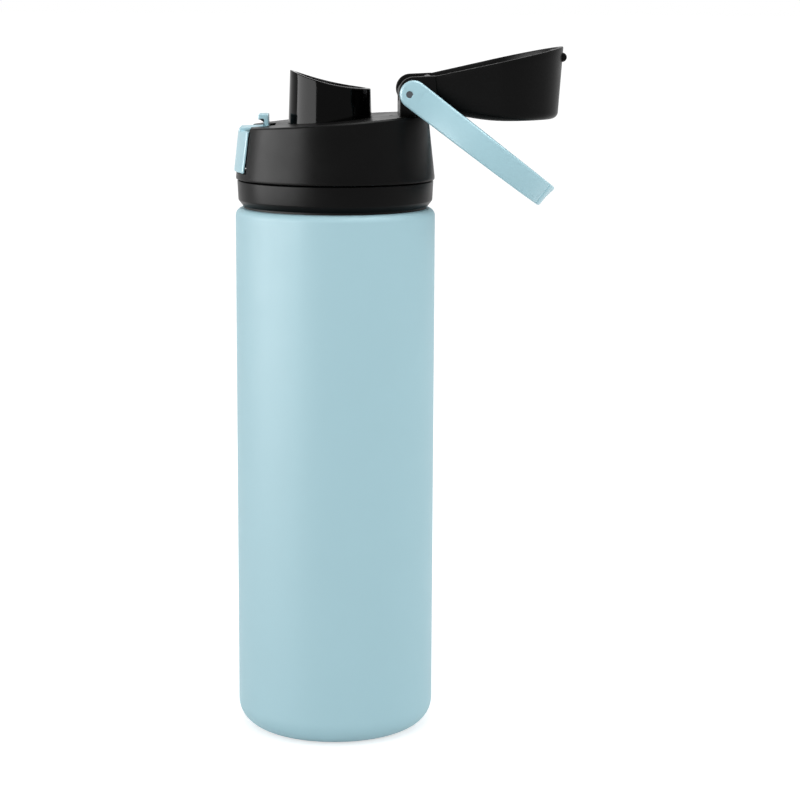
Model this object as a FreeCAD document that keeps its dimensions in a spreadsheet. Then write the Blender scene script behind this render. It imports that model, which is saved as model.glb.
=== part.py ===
import FreeCAD, Part
import math
import os

import Sketcher

# Double-walled sports bottle with a screw lid, a flip cover over the spout and a carry handle.
# Millimetres. The bottle's axis is +Z from the centre of its foot, the latch is on the -X side
# and the hinge on the +X side. It is modelled with the cover thrown open and the handle hanging.

V = FreeCAD.Vector
doc = FreeCAD.newDocument("sports_bottle")
sheet = doc.addObject("Spreadsheet::Sheet", "Sizes")


class Size:
    """A number that also carries the spreadsheet expression that gives it."""

    def __init__(self, value, text):
        self.value = value
        self.text = text

    def __add__(self, other):
        return Size(self.value + number(other), "(%s + %s)" % (self.text, words(other)))

    def __sub__(self, other):
        return Size(self.value - number(other), "(%s - %s)" % (self.text, words(other)))

    def __rsub__(self, other):
        return Size(number(other) - self.value, "(%s - %s)" % (words(other), self.text))

    def __mul__(self, other):
        return Size(self.value * number(other), "(%s * %s)" % (self.text, words(other)))

    def __truediv__(self, other):
        return Size(self.value / number(other), "(%s / %s)" % (self.text, words(other)))

    def __neg__(self):
        return Size(-self.value, "(0 - %s)" % self.text)

    __radd__ = __add__
    __rmul__ = __mul__


def number(item):
    return item.value if isinstance(item, Size) else float(item)


def words(item):
    return item.text if isinstance(item, Size) else "%.9g" % item


def tan(angle):
    return Size(math.tan(math.radians(angle.value)), "tan(%s * 1 deg)" % angle.text)


def half_angle(half_width, radius):
    """Degrees that half a chord covers on a circle."""
    value = math.degrees(math.asin(half_width.value / radius.value))
    return Size(value, "(asin(%s / %s) / 1 deg)" % (half_width.text, radius.text))


def leg(radius, half_width):
    """Distance of a chord from the circle's centre."""
    value = math.sqrt(radius.value ** 2 - half_width.value ** 2)
    return Size(value, "sqrt((%s) ^ 2 - (%s) ^ 2)" % (radius.text, half_width.text))


class Sizes:
    """Every driving dimension: one row of the sheet each, read back as a Size."""

    def __init__(self, rows):
        for row, (name, value, meaning) in enumerate(rows, start=1):
            sheet.set("A%d" % row, meaning)
            sheet.set("B%d" % row, "%.9g" % value)
            sheet.setAlias("B%d" % row, name)
            setattr(self, name, Size(value, "Sizes.%s" % name))
        doc.recompute()


dim = Sizes([
    # Bottle
    ("body_radius", 36.5, "outer radius of the painted wall"),
    ("body_height", 195.0, "height of the shoulder above the foot"),
    ("base_round", 9.0, "radius of the corner between wall and foot"),
    ("shoulder_round", 2.8, "radius of the corner between wall and shoulder"),
    ("shell_wall", 0.6, "thickness of the outer shell"),
    ("foot_radius", 27.0, "radius of the hole that the base disc closes"),
    ("dish_radius", 20.5, "radius of the raised middle of the base disc"),
    ("dish_depth", 1.6, "how far the middle of the base disc is raised"),
    ("vacuum_gap", 2.5, "gap between the two walls"),
    ("flask_wall", 0.5, "thickness of the inner flask"),
    ("flask_floor", 4.0, "height of the underside of the inner flask"),
    ("flask_round", 7.0, "radius of the inner flask's corners"),
    ("shoulder_gap", 5.1, "gap between the two shoulders"),
    ("neck_radius", 26.0, "outer radius of the neck"),
    ("neck_height", 20.9, "height of the neck above the shoulder"),
    ("lip_thickness", 0.6, "thickness of the rolled lip"),
    ("weld_gap", 0.1, "gap between the two walls of the neck"),
    ("getter_radius", 5.0, "radius of the getter capsule"),
    ("getter_height", 1.6, "height of the getter capsule"),
    ("plug_radius", 1.2, "radius of the evacuation hole and its plug"),
    ("plug_head_radius", 3.0, "radius of the plug's head"),
    ("plug_head_height", 0.5, "height of the plug's head"),
    # Thread
    ("thread_pitch", 4.0, "rise of the thread in one turn"),
    ("thread_turns", 1.45, "turns of ridge on the neck"),
    ("thread_depth", 1.3, "how far the ridge stands out of the neck"),
    ("thread_foot", 1.8, "width of the ridge at the neck"),
    ("thread_crest", 0.9, "width of the ridge at its top"),
    ("thread_start", 13.5, "height of the lowest ridge above the shoulder"),
    ("thread_play", 0.35, "gap between the ridge of the neck and the ridge of the lid"),
    ("grip_turns", 0.5, "turns of ridge inside the lid"),
    # Collar
    ("collar_seal_height", 0.8, "height of the soft ring under the collar"),
    ("collar_height", 9.35, "height of the collar"),
    ("collar_radius", 35.85, "outer radius of the collar"),
    ("collar_foot_inset", 2.0, "how far the collar's foot is drawn in"),
    ("collar_foot_height", 2.2, "height of the drawn-in foot"),
    ("collar_wall", 2.0, "thickness of the collar"),
    ("collar_clearance", 0.3, "gap between the collar and the neck"),
    ("seam_gap", 0.35, "gap between the collar and the lid"),
    # Lid
    ("lid_radius", 36.3, "radius of the lid's lower edge"),
    ("lid_edge_height", 1.0, "height of the upright lower edge"),
    ("lid_draft", 6.4, "lean of the lid's wall"),
    ("lid_wall", 2.2, "thickness of the lid's wall"),
    ("lid_height", 21.4, "height of the lid's wall at the bottle's axis"),
    ("deck_tilt", 4.5, "tilt of the lid's top, up towards the hinge"),
    ("deck_underside", 15.7, "height of the deck's underside above the lid's lower edge"),
    ("liner_floor", 2.3, "thickness of the liner's disc"),
    ("liner_wall", 2.4, "thickness of the liner's skirt"),
    ("liner_clearance", 0.5, "gap between the liner and the crest of the thread"),
    ("liner_foot_gap", 1.0, "height of the liner's foot above the lid's lower edge"),
    ("gasket_height", 1.8, "height of the neck gasket"),
    ("gasket_overhang", 1.3, "how far the neck gasket stands out past the neck"),
    ("gasket_width", 2.9, "width of the neck gasket"),
    ("gasket_play", 0.3, "gap above and below the neck gasket"),
    # Spout
    ("spout_offset", -1.95, "place of the spout's axis along X"),
    ("spout_radius", 15.15, "outer radius of the spout at the deck"),
    ("spout_taper", 1.9, "lean of the spout's wall"),
    ("spout_wall", 2.2, "thickness of the spout's wall"),
    ("spout_height", 25.5, "height of the uncut spout above its flange"),
    ("flange_radius", 17.8, "radius of the spout's flange"),
    ("flange_height", 1.7, "thickness of the spout's flange"),
    ("flange_clearance", 0.4, "gap around the flange"),
    ("spout_gasket_height", 0.6, "thickness of the flat gasket under the flange"),
    ("mouth_radius", 90.0, "radius of the hollow cut of the mouth"),
    ("mouth_centre", 19.05, "distance of the cut's centre from the spout's axis"),
    ("mouth_floor", 14.7, "height of the cut's lowest point above the flange"),
    ("spout_clearance", 0.2, "gap between the spout and the deck"),
    ("vent_offset", 20.2, "place of the vent valve along X"),
    ("vent_radius", 1.85, "radius of the vent valve's stem"),
    ("vent_head_radius", 2.8, "radius of the vent valve's head"),
    ("vent_head_height", 1.1, "height of the vent valve's head"),
    ("vent_bill_height", 4.5, "length of the vent valve's bill"),
    ("vent_bore", 0.8, "radius of the air hole in the deck"),
    # Hinge
    ("hinge_offset", 26.2, "place of the hinge along X"),
    ("hinge_height", 31.4, "height of the hinge above the lid's lower edge"),
    ("pin_radius", 1.2, "radius of the hinge pin"),
    ("pin_play", 0.05, "radial clearance of the hinge pin"),
    ("pin_recess", 0.6, "how deep the pin's ends lie in the handle"),
    ("block_radius", 3.5, "radius of the top of the hinge block"),
    ("block_half_width", 16.6, "half the width of the hinge block"),
    ("spring_slot", 5.2, "half the width of the slot for the cover spring"),
    ("ear_gap", 0.4, "gap between the block, the ears and the handle"),
    ("ear_width", 3.4, "width of one ear of the cover"),
    ("ear_radius", 5.7, "radius of an ear's end"),
    ("ear_offset", 2.1, "distance of the ear's centre from the pin"),
    ("coil_radius", 2.2, "radius of the cover spring's coil"),
    ("coil_wire", 0.55, "side of the cover spring's square wire"),
    ("coil_pitch", 1.5, "pitch of the cover spring's coil"),
    ("coil_turns", 4.75, "turns of the cover spring"),
    # Cover
    ("cover_opening", 175.4, "angle between the shut and the open cover"),
    ("cover_radius", 25.1, "radius of the cover's round front at its lower edge"),
    ("cover_reach", 32.7, "distance from the hinge to the centre of the round front"),
    ("cover_back", 5.6, "distance from the hinge to the cover's back wall"),
    ("cover_draft", 8.5, "lean of the cover's walls"),
    ("cover_wall", 2.0, "thickness of the cover"),
    ("rim_tilt", 8.2, "tilt of the cover's rim when shut"),
    ("rim_drop", 3.85, "height of the rim plane under the hinge, at the hinge"),
    ("top_front_height", 14.0, "height of the cover's top above the hinge, at its front"),
    ("top_middle_height", 11.8, "the same, at the bend of the top"),
    ("top_back_height", 5.9, "the same, at the back wall"),
    ("top_bend", 27.3, "distance from the hinge to the bend of the top"),
    ("cover_round", 3.0, "radius of the edge of the cover's top"),
    ("tab_radius", 1.7, "radius of the finger tab on the cover's front"),
    ("tab_half_width", 5.0, "half the width of the finger tab"),
    ("tab_height", 3.8, "height of the finger tab's axis above the rim's front"),
    ("catch_height", 1.3, "height of the catch inside the cover"),
    ("catch_depth", 2.4, "depth of the catch inside the cover"),
    ("catch_half_width", 6.0, "half the width of the catch"),
    ("seal_radius", 15.2, "radius of the cover's seal"),
    ("seal_thickness", 1.5, "thickness of the cover's seal"),
    ("seal_gap", 0.3, "gap between the seal and the spout"),
    # Handle
    ("handle_droop", 37.1, "angle of the hanging handle under the horizontal"),
    ("handle_centre", 33.6, "distance from the hinge to the centre of the loop's round end"),
    ("loop_inner_radius", 26.3, "inner radius of the loop's round end"),
    ("loop_outer_radius", 30.5, "outer radius of the loop's round end"),
    ("boss_width", 3.0, "thickness of the arms at the hinge"),
    ("boss_length", 6.0, "half the length of the flat part of the arms"),
    ("arm_round", 5.0, "radius of the arms' ends"),
    ("arm_shift", 1.2, "distance of the arms' round centre from the pin, along the arm"),
    ("arm_rise", 0.9, "distance of the arms' middle from the pin, across the arm"),
    ("tip_upper_reach", 64.1, "distance from the pin to the upper corner of the loop's end"),
    ("tip_lower_reach", 62.0, "distance from the pin to the lower corner of the loop's end"),
    ("tip_upper", 5.24, "upper corner of the loop's end, across the arm"),
    ("tip_lower", 3.53, "lower corner of the loop's end, across the arm"),
    # Latch
    ("latch_floor_radius", 31.8, "radius of the floor of the latch's recess"),
    ("latch_floor_wall", 1.2, "thickness of the recess's floor"),
    ("latch_bottom", 2.8, "height of the latch's lower edge above the lid's lower edge"),
    ("latch_top", 17.7, "height of the top of the latch's plate above the lid's lower edge"),
    ("latch_plate", 1.6, "thickness of the latch's plate"),
    ("latch_proud", 0.9, "how far the latch stands out of the lid's wall"),
    ("latch_half_width", 15.6, "half the width of the latch's plate"),
    ("latch_gap", 0.35, "gap around the latch"),
    ("latch_travel", 1.5, "how far the latch can be pressed"),
    ("bridge_half_width", 9.0, "half the width of the bridge from plate to hook"),
    ("bridge_thickness", 1.7, "thickness of the bridge"),
    ("hook_half_width", 6.5, "half the width of the hook"),
    ("hook_back", 24.2, "distance of the hook's back from the bottle's axis"),
    ("hook_stem", 1.9, "thickness of the hook's stem"),
    ("hook_reach", 1.8, "how far the hook's nose stands out"),
    ("hook_height", 4.7, "height of the hook above the bridge"),
    ("hook_nose", 1.9, "height of the hook's nose"),
    ("leaf_thickness", 0.25, "thickness of the latch's leaf spring"),
    ("leaf_half_length", 5.0, "half the length of the leaf spring"),
    ("leaf_half_width", 3.0, "half the width of the leaf spring"),
])

# Heights and radii that several pieces share
flask_radius = dim.body_radius - dim.shell_wall - dim.vacuum_gap
neck_bore = dim.neck_radius - dim.shell_wall - dim.weld_gap - dim.flask_wall
lip_underside = dim.body_height + dim.neck_height
lip_top = lip_underside + dim.lip_thickness
collar_foot = dim.body_height + dim.collar_seal_height
collar_top = collar_foot + dim.collar_height
lid_foot = collar_top + dim.seam_gap
deck_underside = lid_foot + dim.deck_underside
liner_underside = deck_underside - dim.liner_floor
liner_bore = dim.neck_radius + dim.thread_depth + dim.liner_clearance
liner_radius = liner_bore + dim.liner_wall
gasket_radius = dim.neck_radius + dim.gasket_overhang
flange_foot = deck_underside + dim.spout_gasket_height
flange_top = flange_foot + dim.flange_height
hinge_height = lid_foot + dim.hinge_height
ear_inner = dim.block_half_width + dim.ear_gap
ear_outer = ear_inner + dim.ear_width
arm_inner = ear_outer + dim.ear_gap
arm_outer = arm_inner + dim.boss_width
pin_half_length = arm_outer - dim.pin_recess
pin_bore = dim.pin_radius + dim.pin_play
thread_base = dim.body_height + dim.thread_start
spout_bore = dim.spout_radius - dim.spout_wall
slot_depth = dim.coil_radius + 2 * dim.coil_wire
deck_slope = tan(dim.deck_tilt)
rim_slope = tan(dim.rim_tilt)
cover_front = -(dim.cover_reach + dim.cover_radius)
wide = 2.5 * dim.body_radius


def deck_height(x):
    """Height of the lid's tilted top at x."""
    return lid_foot + dim.lid_height + x * deck_slope


def lid_wall_radius(z):
    """Outer radius of the lid's leaning wall at height z."""
    return dim.lid_radius - (z - lid_foot - dim.lid_edge_height) * tan(dim.lid_draft)


def rim_height(x):
    """Height of the shut cover's rim above the hinge, at x from the hinge."""
    return x * rim_slope - dim.rim_drop


# The cover's plan is drawn a little below its rim, and the rim is cut afterwards.
cover_foot = rim_height(cover_front) - 1


# Sketches and features


class Corner:
    """A corner of an outline, reached by a line, or by an arc of the given radius."""

    def __init__(self, x, y, radius=None, turn="left"):
        self.x = x
        self.y = y
        self.radius = radius
        self.turn = turn

    def point(self):
        return V(number(self.x), number(self.y), 0)


class Circle:
    """A full circle in a sketch."""

    def __init__(self, x, y, radius):
        self.x = x
        self.y = y
        self.radius = radius


def bind(item, property_name, size):
    """Sets one property of an object to a size, by expression when the size has one."""
    if isinstance(size, Size):
        item.setExpression(property_name, size.text)


def fix(sketch, kind, geometry, point, size):
    """Ties one coordinate of a sketch point to a size."""
    if not isinstance(size, Size) and size == 0:
        axis = -2 if kind == "DistanceX" else -1
        sketch.addConstraint(Sketcher.Constraint("PointOnObject", geometry, point, axis))
        return
    value = number(size)
    index = sketch.addConstraint(Sketcher.Constraint(kind, -1, 1, geometry, point, value))
    bind(sketch, "Constraints[%d]" % index, size)


def fix_radius(sketch, geometry, size):
    index = sketch.addConstraint(Sketcher.Constraint("Radius", geometry, number(size)))
    bind(sketch, "Constraints[%d]" % index, size)


def arc_between(start, end, radius, turn):
    """The arc of at most half a turn from start to end, and whether it runs forwards."""
    chord = end - start
    across = V(-chord.y, chord.x, 0).normalize()
    rise = math.sqrt(max(radius ** 2 - (chord.Length / 2) ** 2, 0.0))
    side = 1 if turn == "left" else -1
    centre = (start + end) * 0.5 + across * (side * rise)
    angles = [math.atan2(p.y - centre.y, p.x - centre.x) for p in (start, end)]
    forwards = turn == "left"
    first, last = angles if forwards else reversed(angles)
    if last <= first:
        last += 2 * math.pi
    circle = Part.Circle(centre, V(0, 0, 1), radius)
    return Part.ArcOfCircle(circle, first, last), forwards


def draw_outline(sketch, corners):
    """Adds a closed outline whose corners are all tied to the sheet."""
    starts = []
    ends = []
    count = len(corners)
    for index in range(count):
        here = corners[index]
        there = corners[(index + 1) % count]
        if there.radius is None:
            piece = sketch.addGeometry(Part.LineSegment(here.point(), there.point()), False)
            first, last = 1, 2
        else:
            arc, forwards = arc_between(
                here.point(), there.point(), number(there.radius), there.turn
            )
            piece = sketch.addGeometry(arc, False)
            first, last = (1, 2) if forwards else (2, 1)
        starts.append((piece, first))
        ends.append((piece, last))
    for index in range(count):
        following = (index + 1) % count
        sketch.addConstraint(
            Sketcher.Constraint("Coincident", *ends[index], *starts[following])
        )
    for index, corner in enumerate(corners):
        fix(sketch, "DistanceX", *starts[index], corner.x)
        fix(sketch, "DistanceY", *starts[index], corner.y)
        if corner.radius is not None:
            fix_radius(sketch, starts[index - 1][0], corner.radius)


def draw_circle(sketch, circle):
    centre = V(number(circle.x), number(circle.y), 0)
    piece = sketch.addGeometry(
        Part.Circle(centre, V(0, 0, 1), number(circle.radius)), False
    )
    fix(sketch, "DistanceX", piece, 3, circle.x)
    fix(sketch, "DistanceY", piece, 3, circle.y)
    fix_radius(sketch, piece, circle.radius)


def add_sketch(body, role, outlines, lift=0):
    """A sketch on one of the body's own origin planes, lifted along the plane's normal."""
    sketch = body.newObject("Sketcher::SketchObject", "%s_sketch" % body.Name)
    plane = [item for item in body.Origin.OriginFeatures if item.Role == role][0]
    sketch.AttachmentSupport = [(plane, "")]
    sketch.MapMode = "FlatFace"
    sketch.AttachmentOffset = FreeCAD.Placement(V(0, 0, number(lift)), FreeCAD.Rotation())
    bind(sketch, "AttachmentOffset.Base.z", lift)
    for outline in outlines:
        if isinstance(outline, Circle):
            draw_circle(sketch, outline)
        else:
            draw_outline(sketch, outline)
    return sketch


def settle(body, feature, before, cuts):
    """Recomputes, and refuses a feature that changed nothing or went the wrong way."""
    doc.recompute()
    change = feature.Shape.Volume - before
    if (cuts and change > -1e-6) or (not cuts and change < 1e-6):
        raise RuntimeError("%s in %s changed nothing" % (feature.Name, body.Label))
    return feature


def volume_of(body):
    return body.Shape.Volume if body.Tip is not None and not body.Shape.isNull() else 0.0


def turn(body, corners, cuts=False, angle=None):
    """Turns an outline in the XZ plane about Z, all round or evenly about the plane."""
    before = volume_of(body)
    sketch = add_sketch(body, "XZ_Plane", [corners])
    kind = "PartDesign::Groove" if cuts else "PartDesign::Revolution"
    feature = body.newObject(kind, "%s_turn" % body.Name)
    feature.Profile = sketch
    feature.ReferenceAxis = (sketch, ["V_Axis"])
    feature.Angle = 360.0 if angle is None else number(angle)
    if angle is not None:
        feature.Midplane = True
        bind(feature, "Angle", angle)
    return settle(body, feature, before, cuts)


def pad(body, role, outlines, length, cuts=False, lift=0, even=False, lean=None):
    """Pads outlines along the plane's normal, or cuts them the other way."""
    before = volume_of(body)
    sketch = add_sketch(body, role, outlines, lift)
    kind = "PartDesign::Pocket" if cuts else "PartDesign::Pad"
    feature = body.newObject(kind, "%s_pad" % body.Name)
    feature.Profile = sketch
    feature.Length = number(length)
    bind(feature, "Length", length)
    if even:
        feature.SideType = "Symmetric"
    if lean is not None:
        feature.TaperAngle = -number(lean)
        bind(feature, "TaperAngle", -lean)
    return settle(body, feature, before, cuts)


def round_edges(body, radius, wanted):
    """Fillets the edges of the body's last feature that the test wants."""
    base = body.Tip
    names = []
    for index, edge in enumerate(base.Shape.Edges, start=1):
        if wanted(edge):
            names.append("Edge%d" % index)
    if not names:
        raise RuntimeError("no edge to round in %s" % body.Label)
    feature = body.newObject("PartDesign::Fillet", "%s_fillet" % body.Name)
    feature.Base = (base, names)
    feature.Radius = number(radius)
    bind(feature, "Radius", radius)
    doc.recompute()
    return feature


def is_ring(edge, radius, height):
    """True for a full circle about the axis with this radius, at this height."""
    curve = edge.Curve
    if not isinstance(curve, Part.Circle):
        return False
    return (
        abs(curve.Radius - number(radius)) < 0.01
        and abs(curve.Center.z - number(height)) < 0.01
        and math.hypot(curve.Center.x, curve.Center.y) < 0.01
    )


def new_body(label):
    body = doc.addObject("PartDesign::Body", label)
    body.Label = label
    return body


def place(item, x, z, angle=0):
    """Puts an object at x, z and turns it about +Y."""
    item.Placement = FreeCAD.Placement(
        V(number(x), 0, number(z)), FreeCAD.Rotation(V(0, 1, 0), number(angle))
    )
    bind(item, "Placement.Base.x", x)
    bind(item, "Placement.Base.z", z)
    bind(item, "Placement.Rotation.Angle", angle)
    return item


def tube_outline(inner, outer, low, high):
    return [Corner(inner, low), Corner(outer, low), Corner(outer, high), Corner(inner, high)]


def box_outline(left, right, low, high):
    return [Corner(left, low), Corner(right, low), Corner(right, high), Corner(left, high)]


def tube(label, inner, outer, low, high):
    """A plain ring about the bottle's axis."""
    body = new_body(label)
    turn(body, tube_outline(inner, outer, low, high))
    return body


def combine(kind, label, first, *others):
    """A Part boolean of bodies, which carries the sub-part's own name."""
    item = doc.addObject(kind, label)
    item.Label = label
    if kind == "Part::Cut":
        item.Base = first
        item.Tool = others[0]
    else:
        item.Shapes = [first, *others]
    doc.recompute()
    return item


# Bottle


def make_outer_shell():
    body = new_body("outer_shell_wall")
    wall = dim.shell_wall
    outside = dim.body_radius
    inside = outside - wall
    shoulder_inside = dim.body_height - wall
    neck_inside = dim.neck_radius - wall
    turn(body, [
        Corner(dim.foot_radius, 0),
        Corner(outside, 0),
        Corner(outside, dim.body_height),
        Corner(dim.neck_radius, dim.body_height),
        Corner(dim.neck_radius, lip_underside),
        Corner(neck_inside, lip_underside),
        Corner(neck_inside, shoulder_inside),
        Corner(inside, shoulder_inside),
        Corner(inside, wall),
        Corner(dim.foot_radius, wall),
    ])
    round_edges(body, dim.base_round, lambda edge: is_ring(edge, outside, 0))
    round_edges(body, dim.base_round - wall, lambda edge: is_ring(edge, inside, wall))
    round_edges(
        body, dim.shoulder_round, lambda edge: is_ring(edge, outside, dim.body_height)
    )
    round_edges(
        body,
        dim.shoulder_round - wall,
        lambda edge: is_ring(edge, inside, shoulder_inside),
    )
    ridge = make_thread(
        "neck_thread", dim.neck_radius, 1, thread_base, dim.thread_turns, 0.1
    )
    return combine("Part::MultiFuse", "outer_shell", body, ridge)


def make_thread(label, root, direction, start, turns, first_turn):
    """A helical ridge on the cylinder of radius root, pointing out (1) or in (-1)."""
    pitch = dim.thread_pitch.value
    root = root.value
    sink = 0.2
    inner = root - direction * sink
    crest = root + direction * dim.thread_depth.value
    foot = dim.thread_foot.value / 2
    top = dim.thread_crest.value / 2
    helix = Part.makeHelix(pitch, pitch * number(turns), root)
    section = Part.makePolygon([
        V(inner, 0, -foot),
        V(crest, 0, -top),
        V(crest, 0, top),
        V(inner, 0, foot),
        V(inner, 0, -foot),
    ])
    ridge = Part.Wire(helix.Edges).makePipeShell([section], True, True)
    if ridge.Volume < 0:
        ridge.reverse()
    item = doc.addObject("Part::Feature", label)
    item.Label = label
    item.Shape = ridge
    item.Placement = FreeCAD.Placement(
        V(0, 0, number(start) + pitch * first_turn),
        FreeCAD.Rotation(V(0, 0, 1), 360.0 * first_turn),
    )
    return item


def make_outer_base():
    """The disc welded into the foot, with a raised middle and the evacuation hole."""
    body = new_body("outer_base")
    wall = dim.shell_wall
    turn(body, [
        Corner(dim.plug_radius, dim.dish_depth),
        Corner(dim.dish_radius, dim.dish_depth),
        Corner(dim.dish_radius + dim.dish_depth, 0),
        Corner(dim.foot_radius, 0),
        Corner(dim.foot_radius, wall),
        Corner(dim.dish_radius + dim.dish_depth + wall / 2, wall),
        Corner(dim.dish_radius + wall / 2, dim.dish_depth + wall),
        Corner(dim.plug_radius, dim.dish_depth + wall),
    ])
    return body


def make_vacuum_plug():
    body = new_body("vacuum_plug")
    turn(body, [
        Corner(0, dim.dish_depth - dim.plug_head_height),
        Corner(dim.plug_head_radius, dim.dish_depth - dim.plug_head_height),
        Corner(dim.plug_head_radius, dim.dish_depth),
        Corner(dim.plug_radius, dim.dish_depth),
        Corner(dim.plug_radius, dim.dish_depth + dim.shell_wall),
        Corner(0, dim.dish_depth + dim.shell_wall),
    ])
    return body


def make_inner_flask():
    body = new_body("inner_flask")
    wall = dim.flask_wall
    floor = dim.flask_floor
    shoulder = dim.body_height - dim.shell_wall - dim.shoulder_gap
    neck = neck_bore + wall
    turn(body, [
        Corner(0, floor),
        Corner(flask_radius, floor),
        Corner(flask_radius, shoulder),
        Corner(neck, shoulder),
        Corner(neck, lip_underside),
        Corner(dim.neck_radius, lip_underside),
        Corner(dim.neck_radius, lip_top),
        Corner(neck_bore, lip_top),
        Corner(neck_bore, shoulder - wall),
        Corner(flask_radius - wall, shoulder - wall),
        Corner(flask_radius - wall, floor + wall),
        Corner(0, floor + wall),
    ])
    inside = flask_radius - wall
    for height, inner_height in ((floor, floor + wall), (shoulder, shoulder - wall)):
        round_edges(
            body, dim.flask_round, lambda edge: is_ring(edge, flask_radius, height)
        )
        round_edges(
            body, dim.flask_round - wall, lambda edge: is_ring(edge, inside, inner_height)
        )
    return body


def make_getter():
    item = doc.addObject("Part::Cylinder", "getter")
    item.Label = "getter"
    bind(item, "Radius", dim.getter_radius)
    bind(item, "Height", dim.getter_height)
    return place(item, 0, dim.flask_floor - dim.getter_height)


def make_collar():
    body = new_body("collar_ring")
    wall = dim.collar_wall
    foot_radius = dim.collar_radius - dim.collar_foot_inset
    hub = dim.neck_radius + dim.collar_clearance
    bevel = dim.seam_gap
    turn(body, [
        Corner(hub, collar_foot),
        Corner(hub + wall, collar_foot),
        Corner(hub + wall, collar_top - wall),
        Corner(foot_radius - wall, collar_top - wall),
        Corner(foot_radius - wall, collar_foot),
        Corner(foot_radius, collar_foot),
        Corner(dim.collar_radius - bevel, collar_foot + dim.collar_foot_height),
        Corner(dim.collar_radius, collar_top - bevel),
        Corner(dim.collar_radius - bevel, collar_top),
        Corner(hub, collar_top),
    ])
    return body


# Lid


def make_lid_body():
    body = new_body("lid_body")
    peak = deck_height(dim.lid_radius) + dim.lid_wall
    edge = lid_foot + dim.lid_edge_height
    wall = dim.lid_wall
    turn(body, [
        Corner(0, lid_foot),
        Corner(dim.lid_radius, lid_foot),
        Corner(dim.lid_radius, edge),
        Corner(lid_wall_radius(peak), peak),
        Corner(0, peak),
    ])
    pad(body, "XZ_Plane", [[
        Corner(-wide, deck_height(-wide)),
        Corner(wide, deck_height(wide)),
        Corner(wide, deck_height(wide) + wide),
        Corner(-wide, deck_height(wide) + wide),
    ]], 2 * wide, cuts=True, even=True)
    turn(body, [
        Corner(0, lid_foot),
        Corner(lid_wall_radius(lid_foot) - wall, lid_foot),
        Corner(lid_wall_radius(deck_underside) - wall, deck_underside),
        Corner(0, deck_underside),
    ], cuts=True)
    add_latch_recess(body)
    flange_hole = dim.flange_radius + dim.flange_clearance
    pad(
        body, "XY_Plane", [Circle(dim.spout_offset, 0, flange_hole)],
        flange_top - deck_underside, cuts=True, lift=flange_top,
    )
    pad(
        body, "XY_Plane",
        [Circle(dim.spout_offset, 0, dim.spout_radius + dim.spout_clearance)],
        peak - deck_underside, cuts=True, lift=peak,
    )
    valve_top = deck_underside + dim.vent_head_height + dim.flange_clearance
    pad(
        body, "XY_Plane",
        [Circle(dim.vent_offset, 0, dim.vent_head_radius + dim.flange_clearance)],
        valve_top - deck_underside, cuts=True, lift=valve_top,
    )
    pad(
        body, "XY_Plane", [Circle(dim.vent_offset, 0, dim.vent_bore)],
        peak - deck_underside, cuts=True, lift=peak,
    )
    add_hinge_block(body)
    return body


def add_latch_recess(body):
    """A thickened wall on the latch's side, with the recess that the latch lies in."""
    floor = dim.latch_floor_radius
    inside = floor - dim.latch_floor_wall
    gap = dim.latch_gap
    low = lid_foot + dim.latch_bottom - gap
    half = dim.latch_half_width + gap
    turn(body, [
        Corner(-inside, lid_foot),
        Corner(-(lid_wall_radius(lid_foot) - dim.lid_wall / 2), lid_foot),
        Corner(-(lid_wall_radius(deck_underside) - dim.lid_wall / 2), deck_underside),
        Corner(-inside, deck_underside),
    ], angle=2 * half_angle(half + dim.lid_wall, inside))
    corner = leg(floor, half)
    pad(body, "XY_Plane", [[
        Corner(-wide, -half),
        Corner(-corner, -half),
        Corner(-floor, 0, floor, "right"),
        Corner(-corner, half, floor, "right"),
        Corner(-wide, half),
    ]], wide, cuts=True, lift=low + wide)
    bridge_floor = bridge_underside() - gap
    pad(body, "XZ_Plane", [box_outline(
        -dim.latch_floor_radius - gap,
        -(dim.hook_back - dim.latch_travel - 2 * gap),
        bridge_floor,
        bridge_floor + wide,
    )], 2 * (dim.bridge_half_width + gap), cuts=True, even=True)


def bridge_underside():
    """Height of the underside of the bridge between the latch's plate and its hook."""
    return deck_height(-dim.latch_floor_radius) - dim.bridge_thickness - 0.1


def add_hinge_block(body):
    """The block that holds the pin, with a slot for the spring."""
    radius = dim.block_radius
    left = dim.hinge_offset - radius
    right = dim.hinge_offset + radius
    root = deck_height(dim.hinge_offset) - dim.lid_wall
    pad(body, "XZ_Plane", [[
        Corner(left, root),
        Corner(right, root),
        Corner(right, hinge_height),
        Corner(dim.hinge_offset, hinge_height + radius, radius, "left"),
        Corner(left, hinge_height, radius, "left"),
    ]], 2 * dim.block_half_width, even=True)
    pad(
        body, "XZ_Plane", [Circle(dim.hinge_offset, hinge_height, pin_bore)],
        2 * wide, cuts=True, even=True,
    )
    pad(body, "XZ_Plane", [box_outline(
        left - radius, right + radius, hinge_height - slot_depth, hinge_height + 2 * radius
    )], 2 * dim.spring_slot, cuts=True, even=True)


def make_liner():
    """The inner part of the lid, which closes the mouth and carries the thread."""
    body = new_body("liner_disc")
    foot = lid_foot + dim.liner_foot_gap
    turn(body, [
        Corner(0, liner_underside),
        Corner(liner_bore, liner_underside),
        Corner(liner_bore, foot),
        Corner(liner_radius, foot),
        Corner(liner_radius, deck_underside),
        Corner(0, deck_underside),
    ])
    pad(
        body, "XY_Plane",
        [Circle(dim.spout_offset, 0, spout_bore), Circle(dim.vent_offset, 0, dim.vent_radius)],
        dim.liner_floor, cuts=True, lift=deck_underside,
    )
    # The lid's ridge lies under the neck's ridge, flank beside flank.
    drop = (dim.thread_foot + dim.thread_crest) / 2 + dim.thread_play
    ridge = make_thread(
        "liner_thread", liner_bore, -1, thread_base - drop, dim.grip_turns, 0.4
    )
    return combine("Part::MultiFuse", "lid_liner", body, ridge)


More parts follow.
